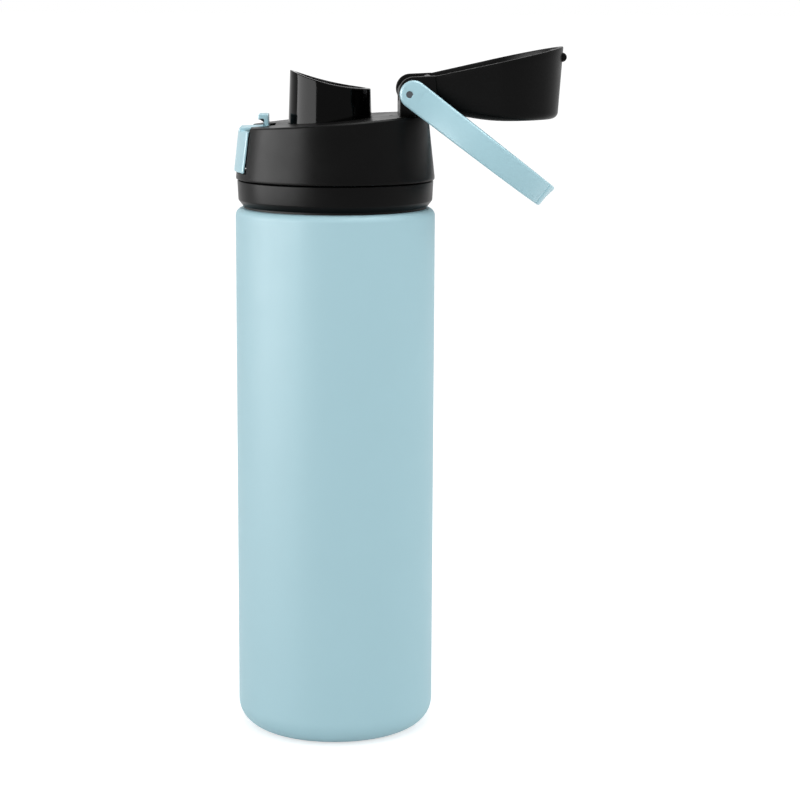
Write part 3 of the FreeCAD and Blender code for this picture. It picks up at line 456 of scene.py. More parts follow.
@dataclass
class Bottle:
    """The painted wall with its threaded neck, and the steel inside."""

    radius: float = 36.5
    height: float = 195.0
    wall: float = 0.6
    foot: float = 27.0
    foot_round: float = 9.0
    shoulder_round: float = 2.8
    neck: float = 26.0
    lip: float = 215.9
    pitch: float = 4.0
    thread_start: float = 208.5
    thread_depth: float = 1.3
    thread_turns: tuple[float, float] = (0.1, 1.55)

    def build(self) -> None:
        """Builds the wall and the thread, and dresses the steel pieces."""
        self.make_wall()
        for node in ("outer_base", "vacuum_plug", "inner_flask", "getter"):
            dress(node, STEEL)
        dress("collar_seal", BLACK_SILICONE)

    def make_wall(self) -> None:
        """Turns the wall's closed profile, outside and inside, and adds the ridge."""
        inside = self.radius - self.wall
        bore = self.neck - self.wall
        profile = rounded([
            (self.foot, 0, 0.1),
            (self.radius, 0, self.foot_round),
            (self.radius, self.height, self.shoulder_round),
            (self.neck, self.height, 0.8),
            (self.neck, self.lip, 0.15),
            (bore, self.lip, 0.1),
            (bore, self.height - self.wall, 0.3),
            (inside, self.height - self.wall, self.shoulder_round - self.wall),
            (inside, self.wall, self.foot_round - self.wall),
            (self.foot, self.wall, 0.1),
        ], steps=12)
        surface = Surface("bottle_wall").add(lathe(profile), ring=True)
        surface.add(self.thread(), caps=True)
        surface.build(PAINT, Body.BOTTLE, "outer_shell")

    def thread(self) -> np.ndarray:
        """The ridge: a trapezium carried along a helix, sinking into the neck at its ends.

        Returns:
            A grid. At turn t its middle is at height start + pitch t, and its depth is
            eased from nothing over a tenth of a turn at either end.
        """
        first, last = self.thread_turns
        turn = np.linspace(first, last, 260)
        ease = smooth((turn - first) / 0.1) * smooth((last - turn) / 0.1)
        across = np.array([-0.9, -0.62, -0.45, -0.3, 0.3, 0.45, 0.62, 0.9, 0.5, -0.5])
        out = np.array([-0.1, 0.7, 0.93, 1.0, 1.0, 0.93, 0.7, -0.1, -0.2, -0.2])
        depth = out * self.thread_depth * np.where(out > 0, ease[:, None], 1.0)
        height = self.thread_start + self.pitch * turn[:, None] + across
        return circle(self.neck + depth, height, 2 * math.pi * turn[:, None])


@dataclass
class Collar:
    """The black ring between the painted shoulder and the lid."""

    foot: float = 195.8
    top: float = 205.15
    radius: float = 35.85
    foot_radius: float = 33.85
    hub: float = 26.3
    wall: float = 2.0

    def build(self) -> None:
        """Turns the ring's closed profile, with eased edges."""
        profile = rounded([
            (self.hub, self.foot, 0.1),
            (self.hub + self.wall, self.foot, 0.1),
            (self.hub + self.wall, self.top - self.wall, 0.3),
            (self.foot_radius - self.wall, self.top - self.wall, 0.3),
            (self.foot_radius - self.wall, self.foot, 0.1),
            (self.foot_radius, self.foot, 0.15),
            (self.radius - 0.35, self.foot + 2.2, 0.8),
            (self.radius, self.top - 0.35, 0.12),
            (self.radius - 0.35, self.top, 0.12),
            (self.hub, self.top, 0.1),
        ], steps=4)
        Surface("collar").add(lathe(profile), ring=True).build(
            SATIN_BLACK, Body.BOTTLE, "collar_ring"
        )


@dataclass
class Lid:
    """The lid with its leaning wall, tilted deck, latch recess and hinge block."""

    foot: float = 205.5
    radius: float = 36.3
    foot_edge: tuple[tuple[float, float], ...] = ((0.3, 0.0), (0.08, 0.09), (0.0, 0.3))
    edge: float = 1.0
    draft: float = 6.4
    wall: float = 2.2
    deck: float = 226.9
    tilt: float = 4.5
    underside: float = 221.2
    rounding: float = 0.9
    groove: tuple[tuple[float, float], ...] = (
        (0.8, 0.0), (0.95, 0.5), (1.45, 0.5), (1.6, 0.0),
    )
    hole: float = 15.35
    hole_edge: float = 0.3
    hole_centre: float = -1.95
    flange_hole: float = 18.2
    flange_top: float = 223.5
    recess_radius: float = 31.8
    recess_half: float = 15.95
    recess_low: float = 207.95
    recess_middle: float = 216.0
    recess_edge: float = 0.2
    pad_radius: float = 30.6
    pad_angle: float = 35.0
    bridge_half: float = 9.35
    bridge_floor: float = 222.22
    bridge_end: float = -21.8
    block_radius: float = 3.2
    block_half: float = 16.6
    slot_half: float = 5.2
    slot_floor: float = 233.6
    air_hole: float = 0.8
    air_hole_place: float = 20.2

    def deck_height(self, x: Value) -> Value:
        """Height of the tilted deck at x."""
        return self.deck + x * math.tan(math.radians(self.tilt))

    def wall_radius(self, z: Value) -> Value:
        """Radius of the leaning wall at height z, constant below the upright edge."""
        above = np.maximum(z - self.foot - self.edge, 0)
        return self.radius - above * math.tan(math.radians(self.draft))

    def build(self) -> None:
        """Builds shell, block and air hole, and dresses what is inside."""
        self.make_shell()
        self.make_block()
        self.make_air_hole()
        dress("lid_liner", SATIN_BLACK)
        dress("spout_gasket", SILICONE)
        dress("vent_valve", SILICONE)
        # The pin's darkened steel paints the shade in the loop's pin hole.
        dress("hinge_pin", SHADED_PIN_STEEL)
        dress("cover_spring", SPRING_STEEL)
        dress("latch_spring", SPRING_STEEL)

    def columns(self) -> tuple[np.ndarray, np.ndarray]:
        """Finds where the shell's columns lie: by angle, or by Y across the latch recess.

        Returns:
            Each column's angle, and its Y, or NaN where the angle counts.
        """
        gap = 0.03
        half, bridge = self.recess_half, self.bridge_half
        side = np.linspace(bridge + gap, half, 10)
        lane = np.concatenate([-side[::-1], np.linspace(-bridge, bridge, 20), side])
        wall = self.wall_radius(self.recess_middle)
        edge = math.pi - math.asin((half + gap) / wall)
        sweep = np.linspace(-edge, edge, SEGMENTS)
        angle = np.concatenate([sweep, np.full(lane.size, math.pi)])
        return angle, np.concatenate([np.full(sweep.size, np.nan), lane[::-1]])

    def make_shell(self) -> None:
        """The shell as one closed grid.

        Its rows run up the wall, over the rounded edge, across the deck to the spout's
        hole, down through it and back along the inside. Columns that cross the latch
        recess keep their Y, so its sides stand upright.
        """
        angle, lane = self.columns()
        locked = ~np.isnan(lane)
        y_lane = np.where(locked, lane, 0)
        bridge = locked & (np.abs(y_lane) <= self.bridge_half + 1e-6)
        padded = locked | (np.abs(np.abs(angle) - math.pi) < math.radians(self.pad_angle))

        def ring(radius: Value, height: Value) -> np.ndarray:
            """Makes a row round the bottle's axis.

            Args:
                radius: one for all columns, or one a column.
                height: one for all columns, or one a column.

            Returns:
                The row. Across the recess, x is minus the root of radius^2 - Y^2.
            """
            radius = radius + 0 * angle
            x = np.where(
                locked,
                -np.sqrt(np.maximum(radius ** 2 - y_lane ** 2, 0)),
                radius * np.cos(angle),
            )
            y = np.where(locked, y_lane, radius * np.sin(angle))
            return np.stack([x, y, height + 0 * angle], -1)

        floor = self.recess_radius
        outer_edge = ring(self.wall_radius(self.deck), 0.0)
        brink = self.deck_height(outer_edge[:, 0])
        brink = np.where(locked, self.deck_height(ring(floor, 0.0)[:, 0]), brink)
        brink = np.where(bridge, self.bridge_floor, brink)
        ease = np.where(locked, self.recess_edge, self.rounding)
        step = 0.02
        rows = [ring(self.wall_radius(self.foot) - self.wall, self.foot)]
        rows += [
            ring(self.radius - inset, self.foot + rise) for inset, rise in self.foot_edge
        ]
        rows += [
            ring(self.radius, self.foot + self.edge),
            ring(self.wall_radius(self.recess_low), self.recess_low),
        ]
        for part in np.linspace(0, 1, 9):
            height = self.recess_low + step + part * (brink - ease - self.recess_low - step)
            radius = np.where(locked, floor, self.wall_radius(height))
            rows.append(ring(radius, height))
        top_radius = np.where(locked, floor, self.wall_radius(brink - ease))
        for turn in np.linspace(0, math.pi / 2, 7)[1:]:
            drawn = ease * (1 - math.cos(turn))
            rows.append(ring(top_radius - drawn, brink - ease * (1 - math.sin(turn))))
        start = rows[-1][:, :2]
        around = np.arctan2(start[:, 1], start[:, 0] - self.hole_centre)
        lip = self.hole_edge
        end = circle(self.hole + lip, 0.0, around, self.hole_centre)[:, :2]
        stop = start + 0.45 * (end - start)
        held = locked & (np.abs(y_lane) <= self.bridge_half + 0.05)
        stop[held] = np.stack([np.full(held.sum(), self.bridge_end), y_lane[held]], -1)
        inwards = (end - start) / np.linalg.norm(end - start, axis=1)[:, None]
        for reach, depth in self.groove:
            flat = start + np.where(locked, step, 1.0)[:, None] * reach * inwards
            height = self.deck_height(flat[:, 0]) - np.where(locked, 0, depth)
            height = np.where(bridge, self.bridge_floor, height)
            rows.append(np.column_stack([flat, height]))
        start = flat
        for part in np.linspace(0, 1, 7)[1:]:
            flat = start + part * (stop - start)
            height = np.where(bridge, self.bridge_floor, self.deck_height(flat[:, 0]))
            rows.append(np.column_stack([flat, height]))
        for part in np.linspace(0.004, 1, 8):
            flat = stop + part * (end - stop)
            rows.append(np.column_stack([flat, self.deck_height(flat[:, 0])]))
        rim = self.deck_height(end[:, 0])
        for radius, height in (
            (self.hole + 0.3 * lip, rim - 0.3 * lip),
            (self.hole, rim - lip),
            (self.hole, self.flange_top),
            (self.flange_hole, self.flange_top),
            (self.flange_hole, self.underside),
        ):
            rows.append(circle(radius, height, around, self.hole_centre))
        for height in (self.underside, self.foot):
            inside = self.wall_radius(height) - self.wall
            rows.append(ring(np.where(padded, self.pad_radius, inside), height))
        Surface("lid_shell").add(np.array(rows), ring=True).build(
            SATIN_BLACK, Body.LID, "lid_body"
        )

    def make_block(self) -> None:
        """The hinge block: a bar with a round top, parted above by the spring's slot."""
        x, z = HINGE
        radius = self.block_radius
        crown = np.array([x, z]) + radius * spokes(np.linspace(0, math.pi, 25))
        foot = self.deck_height(x) - self.wall
        low = np.array([[x - radius, foot], [x + radius, foot]])
        outline = np.concatenate([low, crown])
        surface = Surface("hinge_block")
        for low_end, high_end in mirrored(self.slot_half, self.block_half):
            surface.add(prism(outline, low_end, high_end, 0.35), caps=True)
        waist = rounded([
            (x - radius, foot, 0.1),
            (x + radius, foot, 0.1),
            (x + radius, self.slot_floor, 0.4),
            (x - radius, self.slot_floor, 0.4),
        ])
        surface.add(
            prism(waist, -self.slot_half - 1, self.slot_half + 1, 0.05), caps=True
        )
        surface.build(SATIN_BLACK, Body.LID)

    def make_air_hole(self) -> None:
        """A disc with a low rim where the air hole opens on the deck, painted near-black as
        the shade inside the hole.
        """
        axis, depth, rise = 0.001, -0.25, 0.02
        profile = np.array([
            [axis, depth], [self.air_hole, depth], [self.air_hole, rise], [axis, rise],
        ])
        grid = lathe(profile, self.air_hole_place, 32)
        grid[..., 2] += self.deck_height(grid[..., 0])
        Surface("air_hole").add(grid, caps=True).build(SHADOW, Body.LID)


@dataclass
class Spout:
    """The glossy drinking spout, whose mouth is cut hollow and slanted."""

    centre: float = -1.95
    flange_low: float = 221.8
    flange_high: float = 223.5
    flange: float = 17.8
    radius: float = 15.15
    taper: float = 1.9
    wall: float = 2.2
    deck: float = 226.75
    outer_edge: float = 0.45
    inner_edge: float = 0.7
    flange_edge: float = 0.2
    cut_radius: float = 90.0
    cut_centre: tuple[float, float] = (17.1, 328.2)

    def lip(self, x: np.ndarray) -> np.ndarray:
        """Height of the mouth's edge at x: the lower half of the cut's circle."""
        reach = x - self.cut_centre[0]
        return self.cut_centre[1] - np.sqrt(self.cut_radius ** 2 - reach ** 2)

    def build(self) -> None:
        """One closed grid: up the outside, over the rounded lip and down the bore."""
        angle = np.linspace(0, 2 * math.pi, SEGMENTS, endpoint=False)
        lean = math.tan(math.radians(self.taper))
        bore = self.radius - self.wall

        def ring(radius: Value, height: Value) -> np.ndarray:
            """A row round the spout's axis."""
            return circle(radius, height, angle, self.centre)

        def corner(side: int, radius: float, ease: float) -> list[np.ndarray]:
            """Rounds a corner of the lip by a quarter circle.

            Args:
                side: 1 for the outer corner, -1 for the inner one.
                radius: the wall's radius at the deck.
                ease: the quarter circle's radius.

            Returns:
                Rows that go inwards.
            """
            turns = np.linspace(0, math.pi / 2, 6)[:: 1 if side > 0 else -1]
            rows = []
            for turn in turns:
                drawn = side * ease * (1 - math.cos(turn))
                height = self.lip(self.centre + (radius - drawn) * np.cos(angle))
                height = height - ease * (1 - math.sin(turn))
                rows.append(ring(radius - drawn - (height - self.deck) * lean, height))
            return rows

        outer = corner(1, self.radius, self.outer_edge)
        inner = corner(-1, bore, self.inner_edge)
        rows = [
            ring(bore, self.flange_low),
            ring(self.flange - self.flange_edge, self.flange_low),
            ring(self.flange, self.flange_low + self.flange_edge),
            ring(self.flange, self.flange_high),
            ring(self.radius, self.flange_high),
            ring(self.radius, self.deck),
        ]
        for part in np.linspace(0, 1, 9)[1:-1]:
            height = self.deck + part * (outer[0][:, 2] - self.deck)
            rows.append(ring(self.radius - (height - self.deck) * lean, height))
        rows += outer + inner
        for part in np.linspace(0, 1, 9)[1:]:
            height = inner[-1][:, 2] - part * (inner[-1][:, 2] - self.deck)
            rows.append(ring(bore - (height - self.deck) * lean, height))
        Surface("drinking_spout").add(np.array(rows), ring=True).build(
            GLOSS_BLACK, Body.LID, "spout"
        )


@dataclass
class Cover:
    """The flip cover, drawn shut round the hinge's axis and turned open."""

    opening: float = 175.4
    front_radius: float = 25.1
    front_centre: float = -32.7
    back: float = -5.6
    side: float = 20.4
    corner: float = 3.6
    draft: float = 8.5
    wall: float = 2.0
    foot: float = -13.18
    rim_slope: float = 0.1355
    rim_drop: float = 4.35
    bend: float = -27.3
    bend_height: float = 11.8
    front_slope: float = 0.068
    back_slope: float = 0.27
    rounding: float = 3.0
    inner_rounding: float = 1.2
    rim_edge: float = 0.35
    top_middle: tuple[float, float] = (-31.0, 0.0)
    pin_hole: float = 1.25
    ear_inner: float = 17.0
    ear_outer: float = 20.4
    ear_radius: float = 5.4
    ear_centre: tuple[float, float] = (-1.7, -0.6)
    ear_root: float = -9.8
    ear_high: float = 3.6
    ear_low: float = -5.75
    catch_half: float = 6.0
    tab_radius: float = 1.7
    tab_half: float = 5.0
    tab_place: tuple[float, float] = (-56.6, -8.38)

    def rim(self, x: np.ndarray) -> np.ndarray:
        """Height of the rim plane at x."""
        return x * self.rim_slope - self.rim_drop

    def top(self, x: np.ndarray) -> np.ndarray:
        """Finds the top: two slopes joined by log(1 + e^t) at the bend.

        Args:
            x: distance from the hinge.

        Returns:
            The height there.
        """
        soft = 3.0
        reach = (x - self.bend) / soft
        bent = soft * np.logaddexp(0, reach)
        fall = self.back_slope - self.front_slope
        return self.bend_height - self.front_slope * (x - self.bend) - fall * bent

    def plan(self) -> np.ndarray:
        """Draws the outline at foot level: a half circle, straight sides, rounded corners.

        Returns:
            Points of x and y, anticlockwise.
        """
        turn = np.linspace(math.pi / 2, 1.5 * math.pi, 97)
        front = np.array([self.front_centre, 0]) + self.front_radius * spokes(turn)
        corners = rounded([
            (self.front_centre, -self.front_radius, 0.01),
            (self.back, -self.side, self.corner),
            (self.back, self.side, self.corner),
            (self.front_centre, self.front_radius, 0.01),
        ], steps=8)[9:27]
        share = np.linspace(0, 1, 14)[1:-1, None]
        right = front[-1] + share * (corners[0] - front[-1])
        spine = corners[8] + share * (corners[9] - corners[8])
        left = corners[-1] + share * (front[0] - corners[-1])
        return np.concatenate([front, right, corners[:9], spine, corners[9:], left])

    def build(self) -> None:
        """Builds shell, ears, tab and catch, and dresses the seal and its carrier."""
        surface = Surface("cover_shell")
        surface.add(turned(self.shell(), self.opening), caps=True)
        surface.build(SATIN_BLACK, Body.COVER, "flip_cover")
        details = Surface("cover_details")
        for low, high in mirrored(self.ear_inner, self.ear_outer):
            ear = prism(self.ear_outline(), low, high, 0.4, hole=self.pin_hole)
            details.add(turned(ear, self.opening), ring=True)
        turn = np.linspace(0, 2 * math.pi, 32, endpoint=False)
        tab = np.array(self.tab_place) + self.tab_radius * spokes(turn)
        catch = rounded([
            (-56.5, -11.5, 0.05),
            (-53.4, -11.2, 0.3),
            (-53.4, -10.3, 0.3),
            (-56.5, -10.2, 0.05),
        ])
        for outline, half, bevel in ((tab, self.tab_half, 0.6), (catch, self.catch_half, 0.3)):
            bar = prism(outline, -half, half, bevel)
            details.add(turned(bar, self.opening), caps=True)
        details.build(SATIN_BLACK, Body.COVER)
        dress("cover_seal", SILICONE)
        dress("seal_carrier", SATIN_BLACK)

    def ear_outline(self) -> np.ndarray:
        """Draws an ear: a half circle, drawn out to a foot in the shell's wall.

        Returns:
            Points of x and z from the hinge's axis, anticlockwise.
        """
        turn = np.linspace(-math.pi * 0.5, math.pi * 0.5, 33)
        nose = np.array(self.ear_centre) + self.ear_radius * spokes(turn)
        root, high, low = self.ear_root, self.ear_high, self.ear_low
        foot = np.linspace(0, 1, 12)[:, None]
        upper = nose[-1] + foot * (np.array([root, high]) - nose[-1])
        lower = np.array([root, low]) + foot * (nose[0] - np.array([root, low]))
        back = np.linspace(high, low, 10)[1:-1]
        heel = np.stack([np.full(back.size, root), back], -1)
        return np.concatenate([nose, upper[1:], heel, lower[:-1]])

    def shell(self) -> np.ndarray:
        """Draws the shell from the middle of its top over the edge to the rim and back.

        Returns:
            Rows of the outline. On the wall a row is moved inwards by its height times the
            draft, and over the edge and the top it is drawn towards the middle.
        """
        plan = self.plan()
        normal = outward(plan)
        lean = math.tan(math.radians(self.draft))
        middle = np.array(self.top_middle)

        def wall_row(part: float, extra: float, drop: float) -> np.ndarray:
            """Makes a row of a wall.

            Args:
                part: its share of the height between rim and top.
                extra: how far it lies inside the outer wall.
                drop: how far the wall begins above the rim.

            Returns:
                The outline, moved inwards along its normals.
            """
            flat = plan - normal * extra
            low = self.rim(flat[:, 0]) + drop
            high = self.top(flat[:, 0]) - self.rounding - extra
            height = low + part * (high - low)
            flat = plan - normal * ((height - self.foot) * lean + extra)[:, None]
            return np.column_stack([flat, height])

        def cap_rows(row: np.ndarray, radius: float, drop: float) -> list[np.ndarray]:
            """Makes rows over the rounded edge and across the top to its middle.

            Args:
                row: the wall's highest row.
                radius: the edge's radius.
                drop: how far the rows lie under the top.

            Returns:
                The rows, from the wall to the middle.
            """
            inwards = middle - row[:, :2]
            inwards /= np.linalg.norm(inwards, axis=1)[:, None]
            over = []
            for turn in np.linspace(0, math.pi / 2, 9)[1:]:
                flat = row[:, :2] + inwards * radius * (1 - math.cos(turn))
                height = self.top(flat[:, 0]) - drop
                share = math.sin(turn)
                over.append(np.column_stack([flat, row[:, 2] + share * (height - row[:, 2])]))
            brink = over[-1][:, :2]
            for part in np.linspace(0, 1, 22)[1:-1]:
                flat = brink + part * (middle - brink)
                over.append(np.column_stack([flat, self.top(flat[:, 0]) - drop]))
            return over

        edge, ease = self.rim_edge, 0.1
        outer = [wall_row(part, 0.0, edge) for part in np.linspace(0, 1, 9)]
        inner = [wall_row(part, self.wall, edge) for part in np.linspace(0, 1, 9)]
        rim = [
            wall_row(0, ease, ease),
            wall_row(0, edge, 0.0),
            wall_row(0, self.wall - edge, 0.0),
            wall_row(0, self.wall - ease, ease),
        ]
        outside = cap_rows(outer[-1], self.rounding, 0.0)
        inside = cap_rows(inner[-1], self.inner_rounding, self.wall)
        return np.array(outside[::-1] + outer[::-1] + rim + inner + inside)


@dataclass
class Handle:
    """The carry loop, drawn level from the hinge's axis and turned down."""

    droop: float = 37.1
    arm: float = 22.3
    arm_width: float = 3.0
    loop: float = 28.4
    loop_width: float = 4.2
    centre: float = 33.6
    flat: float = 4.0
    end_radius: float = 5.0
    end_centre: tuple[float, float] = (1.2, 0.9)
    top_end: tuple[float, float] = (64.1, 5.24)
    low_end: tuple[float, float] = (62.0, -3.53)
    edge: float = 0.9
    pin_hole: float = 1.25
    boss_sink: float = 0.02
    boss_overlap: float = 1.4
    boss_blunt: float = 1.3
    groove_side: float = 14.5
    groove_centre: float = 13.4125
    groove_width: float = 0.35
    groove_depth: float = 0.6

    def build(self) -> None:
        """Builds the two flat ends with their holes, and the loop between them."""
        surface = Surface("carry_loop")
        half = self.arm_width / 2
        for low, high in mirrored(self.arm - half, self.arm + half):
            boss = prism(self.boss_outline(), low, high, self.edge, hole=self.pin_hole)
            surface.add(turned(boss, self.droop), ring=True)
        surface.add(turned(self.sweep(), self.droop), caps=True)
        surface.build(SATIN_BLUE, Body.HANDLE, "carry_handle")

    def slope(self, u: Value, start: float, end: tuple[float, float]) -> Value:
        """The straight line from the round end to one of the loop's far corners.

        Args:
            u: distance from the hinge.
            start: the line's height at the round end's centre.
            end: the far corner.

        Returns:
            The line's height at u.
        """
        share = (u - self.end_centre[0]) / (end[0] - self.end_centre[0])
        return start + share * (end[1] - start)

    def upper(self, u: Value) -> Value:
        """The arm's upper edge at distance u from the hinge."""
        return self.slope(u, self.end_centre[1] + self.end_radius, self.top_end)

    def lower(self, u: Value) -> Value:
        """The arm's lower edge at distance u from the hinge."""
        return self.slope(u, self.end_centre[1] - self.end_radius, self.low_end)

    def boss_outline(self) -> np.ndarray:
        """Draws an end: a half circle closed by a straight side with eased corners.

        Returns:
            Points of x and z from the hinge's axis, anticlockwise.
        """
        radius, blunt = self.end_radius - self.boss_sink, self.boss_blunt
        middle = self.end_centre[0]
        back, front = middle - self.end_radius, self.flat + self.boss_overlap
        return rounded([
            (back, self.upper(middle), radius),
            (back, self.lower(middle), radius),
            (front, self.lower(front), blunt),
            (front, self.upper(front), blunt),
        ], steps=16)

    def sweep(self) -> np.ndarray:
        """A rounded bar carried along the loop's plan.

        Returns:
            A grid. Along an arm the plan eases from the hinge's width to the loop's width by
            a cubic step, then it follows a half circle. The bar's height is that between the
            two edges, a groove dips into its outer face, and its end is cut on a slant.
        """
        reach = np.linspace(self.flat, self.centre, 40)[:-1]
        share = smooth((reach - self.flat) / (self.centre - self.flat))
        mid = self.arm + share * (self.loop - self.arm)
        groove = math.asin(self.groove_side / (self.loop + self.loop_width / 2))
        turn = np.unique(np.concatenate([
            np.linspace(0, math.pi / 2, 50), groove + np.linspace(-0.03, 0.03, 13),
        ]))[::-1]
        turn = np.concatenate([-turn, turn[::-1][1:]])
        arc = np.array([self.centre, 0]) + self.loop * spokes(turn)
        near = np.stack([reach, -mid], -1)
        far = np.stack([reach, mid], -1)[::-1]
        path = np.concatenate([near, arc, far])
        along = np.gradient(path, axis=0)
        along /= np.linalg.norm(along, axis=1)[:, None]
        out = np.stack([along[:, 1], -along[:, 0]], -1)
        wide = np.concatenate([share, np.ones(turn.size), share[::-1]])
        width = self.arm_width + wide * (self.loop_width - self.arm_width)
        corner = np.linspace(0, math.pi / 2, 5)
        angle = np.concatenate([corner + quarter * math.pi / 2 for quarter in range(4)])
        sign_out = np.repeat([1, -1, -1, 1], 5)
        sign_up = np.repeat([1, 1, -1, -1], 5)
        high, low = self.upper(path[:, 0]), self.lower(path[:, 0])
        height, centre = (high - low)[:, None], ((high + low) / 2)[:, None]
        across = sign_out * (width[:, None] / 2 - self.edge) + self.edge * np.cos(angle)
        rise = centre + sign_up * (height / 2 - self.edge) + self.edge * np.sin(angle)
        where = (np.abs(path[:, 1]) - self.groove_centre) / self.groove_width
        dent = self.groove_depth * np.exp(-where ** 2) * (path[:, 0] > self.centre)
        across = across - dent[:, None] * (across > 0)
        flat = path[:, None] + out[:, None] * across[..., None]
        slant = (self.top_end[0] - self.low_end[0]) / (self.top_end[1] - self.low_end[1])
        limit = self.low_end[0] + (rise - self.low_end[1]) * slant
        u = np.where(across > 0, np.minimum(flat[..., 0], limit), flat[..., 0])
        return np.stack([u, flat[..., 1], rise], -1)


@dataclass
class Latch:
    """The push latch: a curved plate, a bridge across the deck and a hook."""

    low: float = 208.3
    high: float = 223.2
    outer_low: float = 37.0
    outer_high: float = 35.33
    plate: float = 1.6
    half: float = 15.6
    bridge_half: float = 9.0
    bridge_low: float = 222.57
    bridge_high: float = 224.27
    hook_half: float = 6.5
    hook_back: float = -24.2
    hook_stem: float = 1.9
    hook_reach: float = 1.8
    bridge_root: float = 0.6
    bridge_fall: float = 0.4
    crown: float = 228.97
    nose: float = 1.9
    thinning: float = 0.8
    thin_start: float = 13.6
    thin_width: float = 1.6

    def build(self) -> None:
        """Builds the three parts as one piece.

        The plate is a bar whose x becomes -sqrt(r^2 - y^2), r being its distance from the
        axis, and its outer face falls back towards the sides by a cubic step.
        """
        outline = rounded([
            (-self.outer_low, self.low, 0.5),
            (-self.outer_low + self.plate, self.low, 0.2),
            (-self.outer_high + self.plate, self.high, 0.2),
            (-self.outer_high, self.high, 0.5),
        ])
        plate = prism(outline, -self.half, self.half, 0.4, spans=40)
        share = (plate[..., 2] - self.low) / (self.high - self.low)
        outside = self.outer_low + share * (self.outer_high - self.outer_low)
        depth = (outside + plate[..., 0]) / self.plate
        share = smooth((np.abs(plate[..., 1]) - self.thin_start) / self.thin_width)
        radius = self.thinning * depth * share - plate[..., 0]
        plate[..., 0] = -np.sqrt(radius ** 2 - plate[..., 1] ** 2)
        left = -self.outer_high + self.bridge_root
        bridge = rounded([
            (left, self.bridge_low, 0.2),
            (self.hook_back, self.bridge_low, 0.2),
            (self.hook_back, self.bridge_high + self.bridge_fall, 0.3),
            (left, self.bridge_high, 0.4),
        ])
        stem = self.hook_back - self.hook_stem
        tip = stem - self.hook_reach
        hook = rounded([
            (stem, self.bridge_low, 0.1),
            (self.hook_back, self.bridge_low, 0.1),
            (self.hook_back, self.crown, 0.5),
            (tip, self.crown, 0.5),
            (tip, self.crown - self.nose, 0.3),
            (stem, self.crown - self.nose, 0.2),
        ])
        surface = Surface("latch_plate").add(plate, caps=True)
        surface.add(prism(bridge, -self.bridge_half, self.bridge_half, 0.35), caps=True)
        surface.add(prism(hook, -self.hook_half, self.hook_half, 0.35), caps=True)
        surface.build(SATIN_BLUE, Body.LATCH, "latch_button")


def dress(node: str, finish: Finish) -> None:
    """Gives a CAD node its finish and leaves its shape alone.

    Args:
        node: the CAD node's name.
        finish: the material it takes.
    """
    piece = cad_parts[node]
    piece.data.materials.clear()
    piece.data.materials.append(finish.build())


# Surroundings


class Role(Enum):
    """What a lamp does: it lights, or it shows as a soft sheen."""

    LIGHT = "light"
    SHEEN = "sheen"


def aim(thing: bpy.types.Object, place: tuple[float, float, float], side: np.ndarray,
        back: np.ndarray) -> None:
    """Places a lamp or a camera, which looks along its own -Z.

    Args:
        thing: the object.
        place: where it stands.
        side: unit vector of its own X.
        back: unit vector of its own Z, and back x side is its own Y.
    """
    axes = np.eye(4)
    axes[:3] = np.column_stack([side, np.cross(back, side), back, place])
    thing.matrix_world = Matrix(axes.tolist())


@dataclass(frozen=True)
class Lamp:
    """One soft rectangular lamp."""

    name: str
    place: tuple[float, float, float]
    target: tuple[float, float, float]
    width: float
    height: float
    power: float
    role: Role

    def build(self) -> None:
        """Puts the lamp at its place and points it at its target."""
        data = bpy.data.lights.new(self.name, "AREA")
        data.shape = "RECTANGLE"
        data.size = self.width
        data.size_y = self.height
        data.energy = self.power
        lamp = linked(self.name, data)
        lamp.visible_diffuse = self.role is not Role.SHEEN
        lamp.visible_glossy = self.role is not Role.LIGHT
        lamp.visible_camera = False
        away = np.array(self.place) - np.array(self.target)
        side = np.cross((0, 0, 1), away)
        aim(lamp, self.place, side / np.linalg.norm(side), away / np.linalg.norm(away))


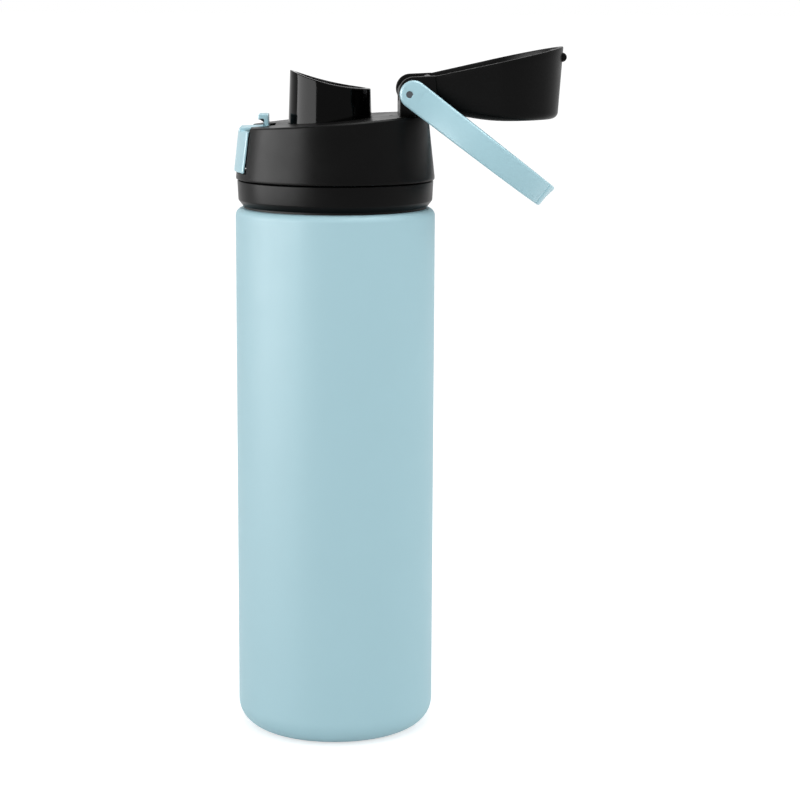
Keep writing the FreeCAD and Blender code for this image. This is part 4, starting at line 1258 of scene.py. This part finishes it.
@dataclass
class Studio:
    """A white surround, a pale floor, soft lamps and the camera."""

    ambient: float = 0.68
    glow: float = 0.6
    floor_tone: float = 0.7
    floor_reach: float = 60000.0
    floor_height: float = -0.05
    camera_place: tuple[float, float, float] = (0.0, -0.8196, 0.26815)
    pitch: float = 10.033
    pan: float = 1.654
    lens: float = 100.54
    lamps: tuple[Lamp, ...] = (
        Lamp("key_left", (-0.9, -0.6, 0.4), (0, 0, 0.12), 0.6, 0.9, 3.0, Role.LIGHT),
        Lamp("fill_right", (1.0, -0.35, 0.35), (0, 0, 0.1), 0.5, 0.9, 3.0, Role.LIGHT),
        Lamp("top", (0.0, -0.2, 1.1), (0, 0, 0.2), 0.6, 0.6, 2.0, Role.LIGHT),
        Lamp("sheen_top", (0.35, -0.1, 1.0), (0, 0, 0.22), 1.0, 0.7, 14.0, Role.SHEEN),
        Lamp("sheen_left", (-0.86, -0.28, 0.25), (0, 0, 0.2), 1.15, 0.9, 44.0, Role.SHEEN),
    )

    def build(self) -> None:
        """Sets up world, floor, lamps, camera and view transform."""
        self.make_world()
        self.make_floor()
        for lamp in self.lamps:
            lamp.build()
        self.make_camera()
        bpy.context.scene.view_settings.view_transform = "Standard"

    def make_world(self) -> None:
        """White for the camera and in reflections, dimmer as a source of light."""
        world = bpy.data.worlds.new("surround")
        bpy.context.scene.world = world
        world.use_nodes = True
        tree = world.node_tree
        sky = tree.nodes["Background"]
        sky.inputs["Color"].default_value = (1.0, 1.0, 1.0, 1.0)
        self.seen_as(tree, sky.inputs["Strength"], self.ambient, 1.0)

    def seen_as(self, tree: bpy.types.NodeTree, socket: bpy.types.NodeSocket,
                light: float, look: float) -> None:
        """Gives a socket one value as a source of light and another where it is seen.

        Args:
            tree: the node tree that holds the socket.
            socket: a strength.
            light: its value for rays that gather light.
            look: its value for the camera's, reflected and refracted rays.
        """
        path = tree.nodes.new("ShaderNodeLightPath")
        seen = path.outputs["Is Camera Ray"]
        for name in ("Is Glossy Ray", "Is Transmission Ray"):
            either = tree.nodes.new("ShaderNodeMath")
            either.operation = "MAXIMUM"
            tree.links.new(seen, either.inputs[0])
            tree.links.new(path.outputs[name], either.inputs[1])
            seen = either.outputs["Value"]
        strength = tree.nodes.new("ShaderNodeMapRange")
        strength.inputs["To Min"].default_value = light
        strength.inputs["To Max"].default_value = look
        tree.links.new(seen, strength.inputs["Value"])
        tree.links.new(strength.outputs["Result"], socket)

    def make_floor(self) -> None:
        """A wide white plane that the bottle stands on."""
        corners = np.array([[-1, -1], [1, -1], [1, 1], [-1, 1]]) * self.floor_reach
        mesh = bpy.data.meshes.new("floor")
        points = np.column_stack([corners, np.full(4, self.floor_height)]) * MM
        mesh.from_pydata(points.tolist(), [], [[0, 1, 2, 3]])
        floor = linked("floor", mesh)
        material = bpy.data.materials.new("floor_white")
        material.use_nodes = True
        shader = material.node_tree.nodes["Principled BSDF"]
        shader.inputs["Base Color"].default_value = (*[self.floor_tone] * 3, 1.0)
        shader.inputs["Roughness"].default_value = 0.9
        shader.inputs["Specular IOR Level"].default_value = 0.0
        shader.inputs["Emission Color"].default_value = (1.0, 1.0, 1.0, 1.0)
        self.seen_as(material.node_tree, shader.inputs["Emission Strength"], 0.0, self.glow)
        mesh.materials.append(material)

    def make_camera(self) -> None:
        """A long lens a little above the bottle, pitched down and panned to the right."""
        pitch, pan = math.radians(self.pitch), math.radians(self.pan)
        ahead = np.array([0, math.cos(pitch), -math.sin(pitch)])
        right = np.array([1.0, 0, 0])
        view = ahead * math.cos(pan) + right * math.sin(pan)
        side = right * math.cos(pan) - ahead * math.sin(pan)
        data = bpy.data.cameras.new("camera")
        data.lens = self.lens
        data.sensor_width = 36.0
        data.clip_start = 0.01
        camera = linked("camera", data)
        aim(camera, self.camera_place, side, -view)
        bpy.context.scene.camera = camera


def main() -> None:
    """Builds every sub-assembly in order and reports each one."""
    logging.basicConfig(level=logging.INFO, format="%(name)s: %(message)s")
    for part in (Bottle(), Collar(), Lid(), Spout(), Cover(), Handle(), Latch(), Studio()):
        part.build()
        LOG.info("%s built", type(part).__name__)
    dress("neck_gasket", SILICONE)


if __name__ == "__main__":
    main()
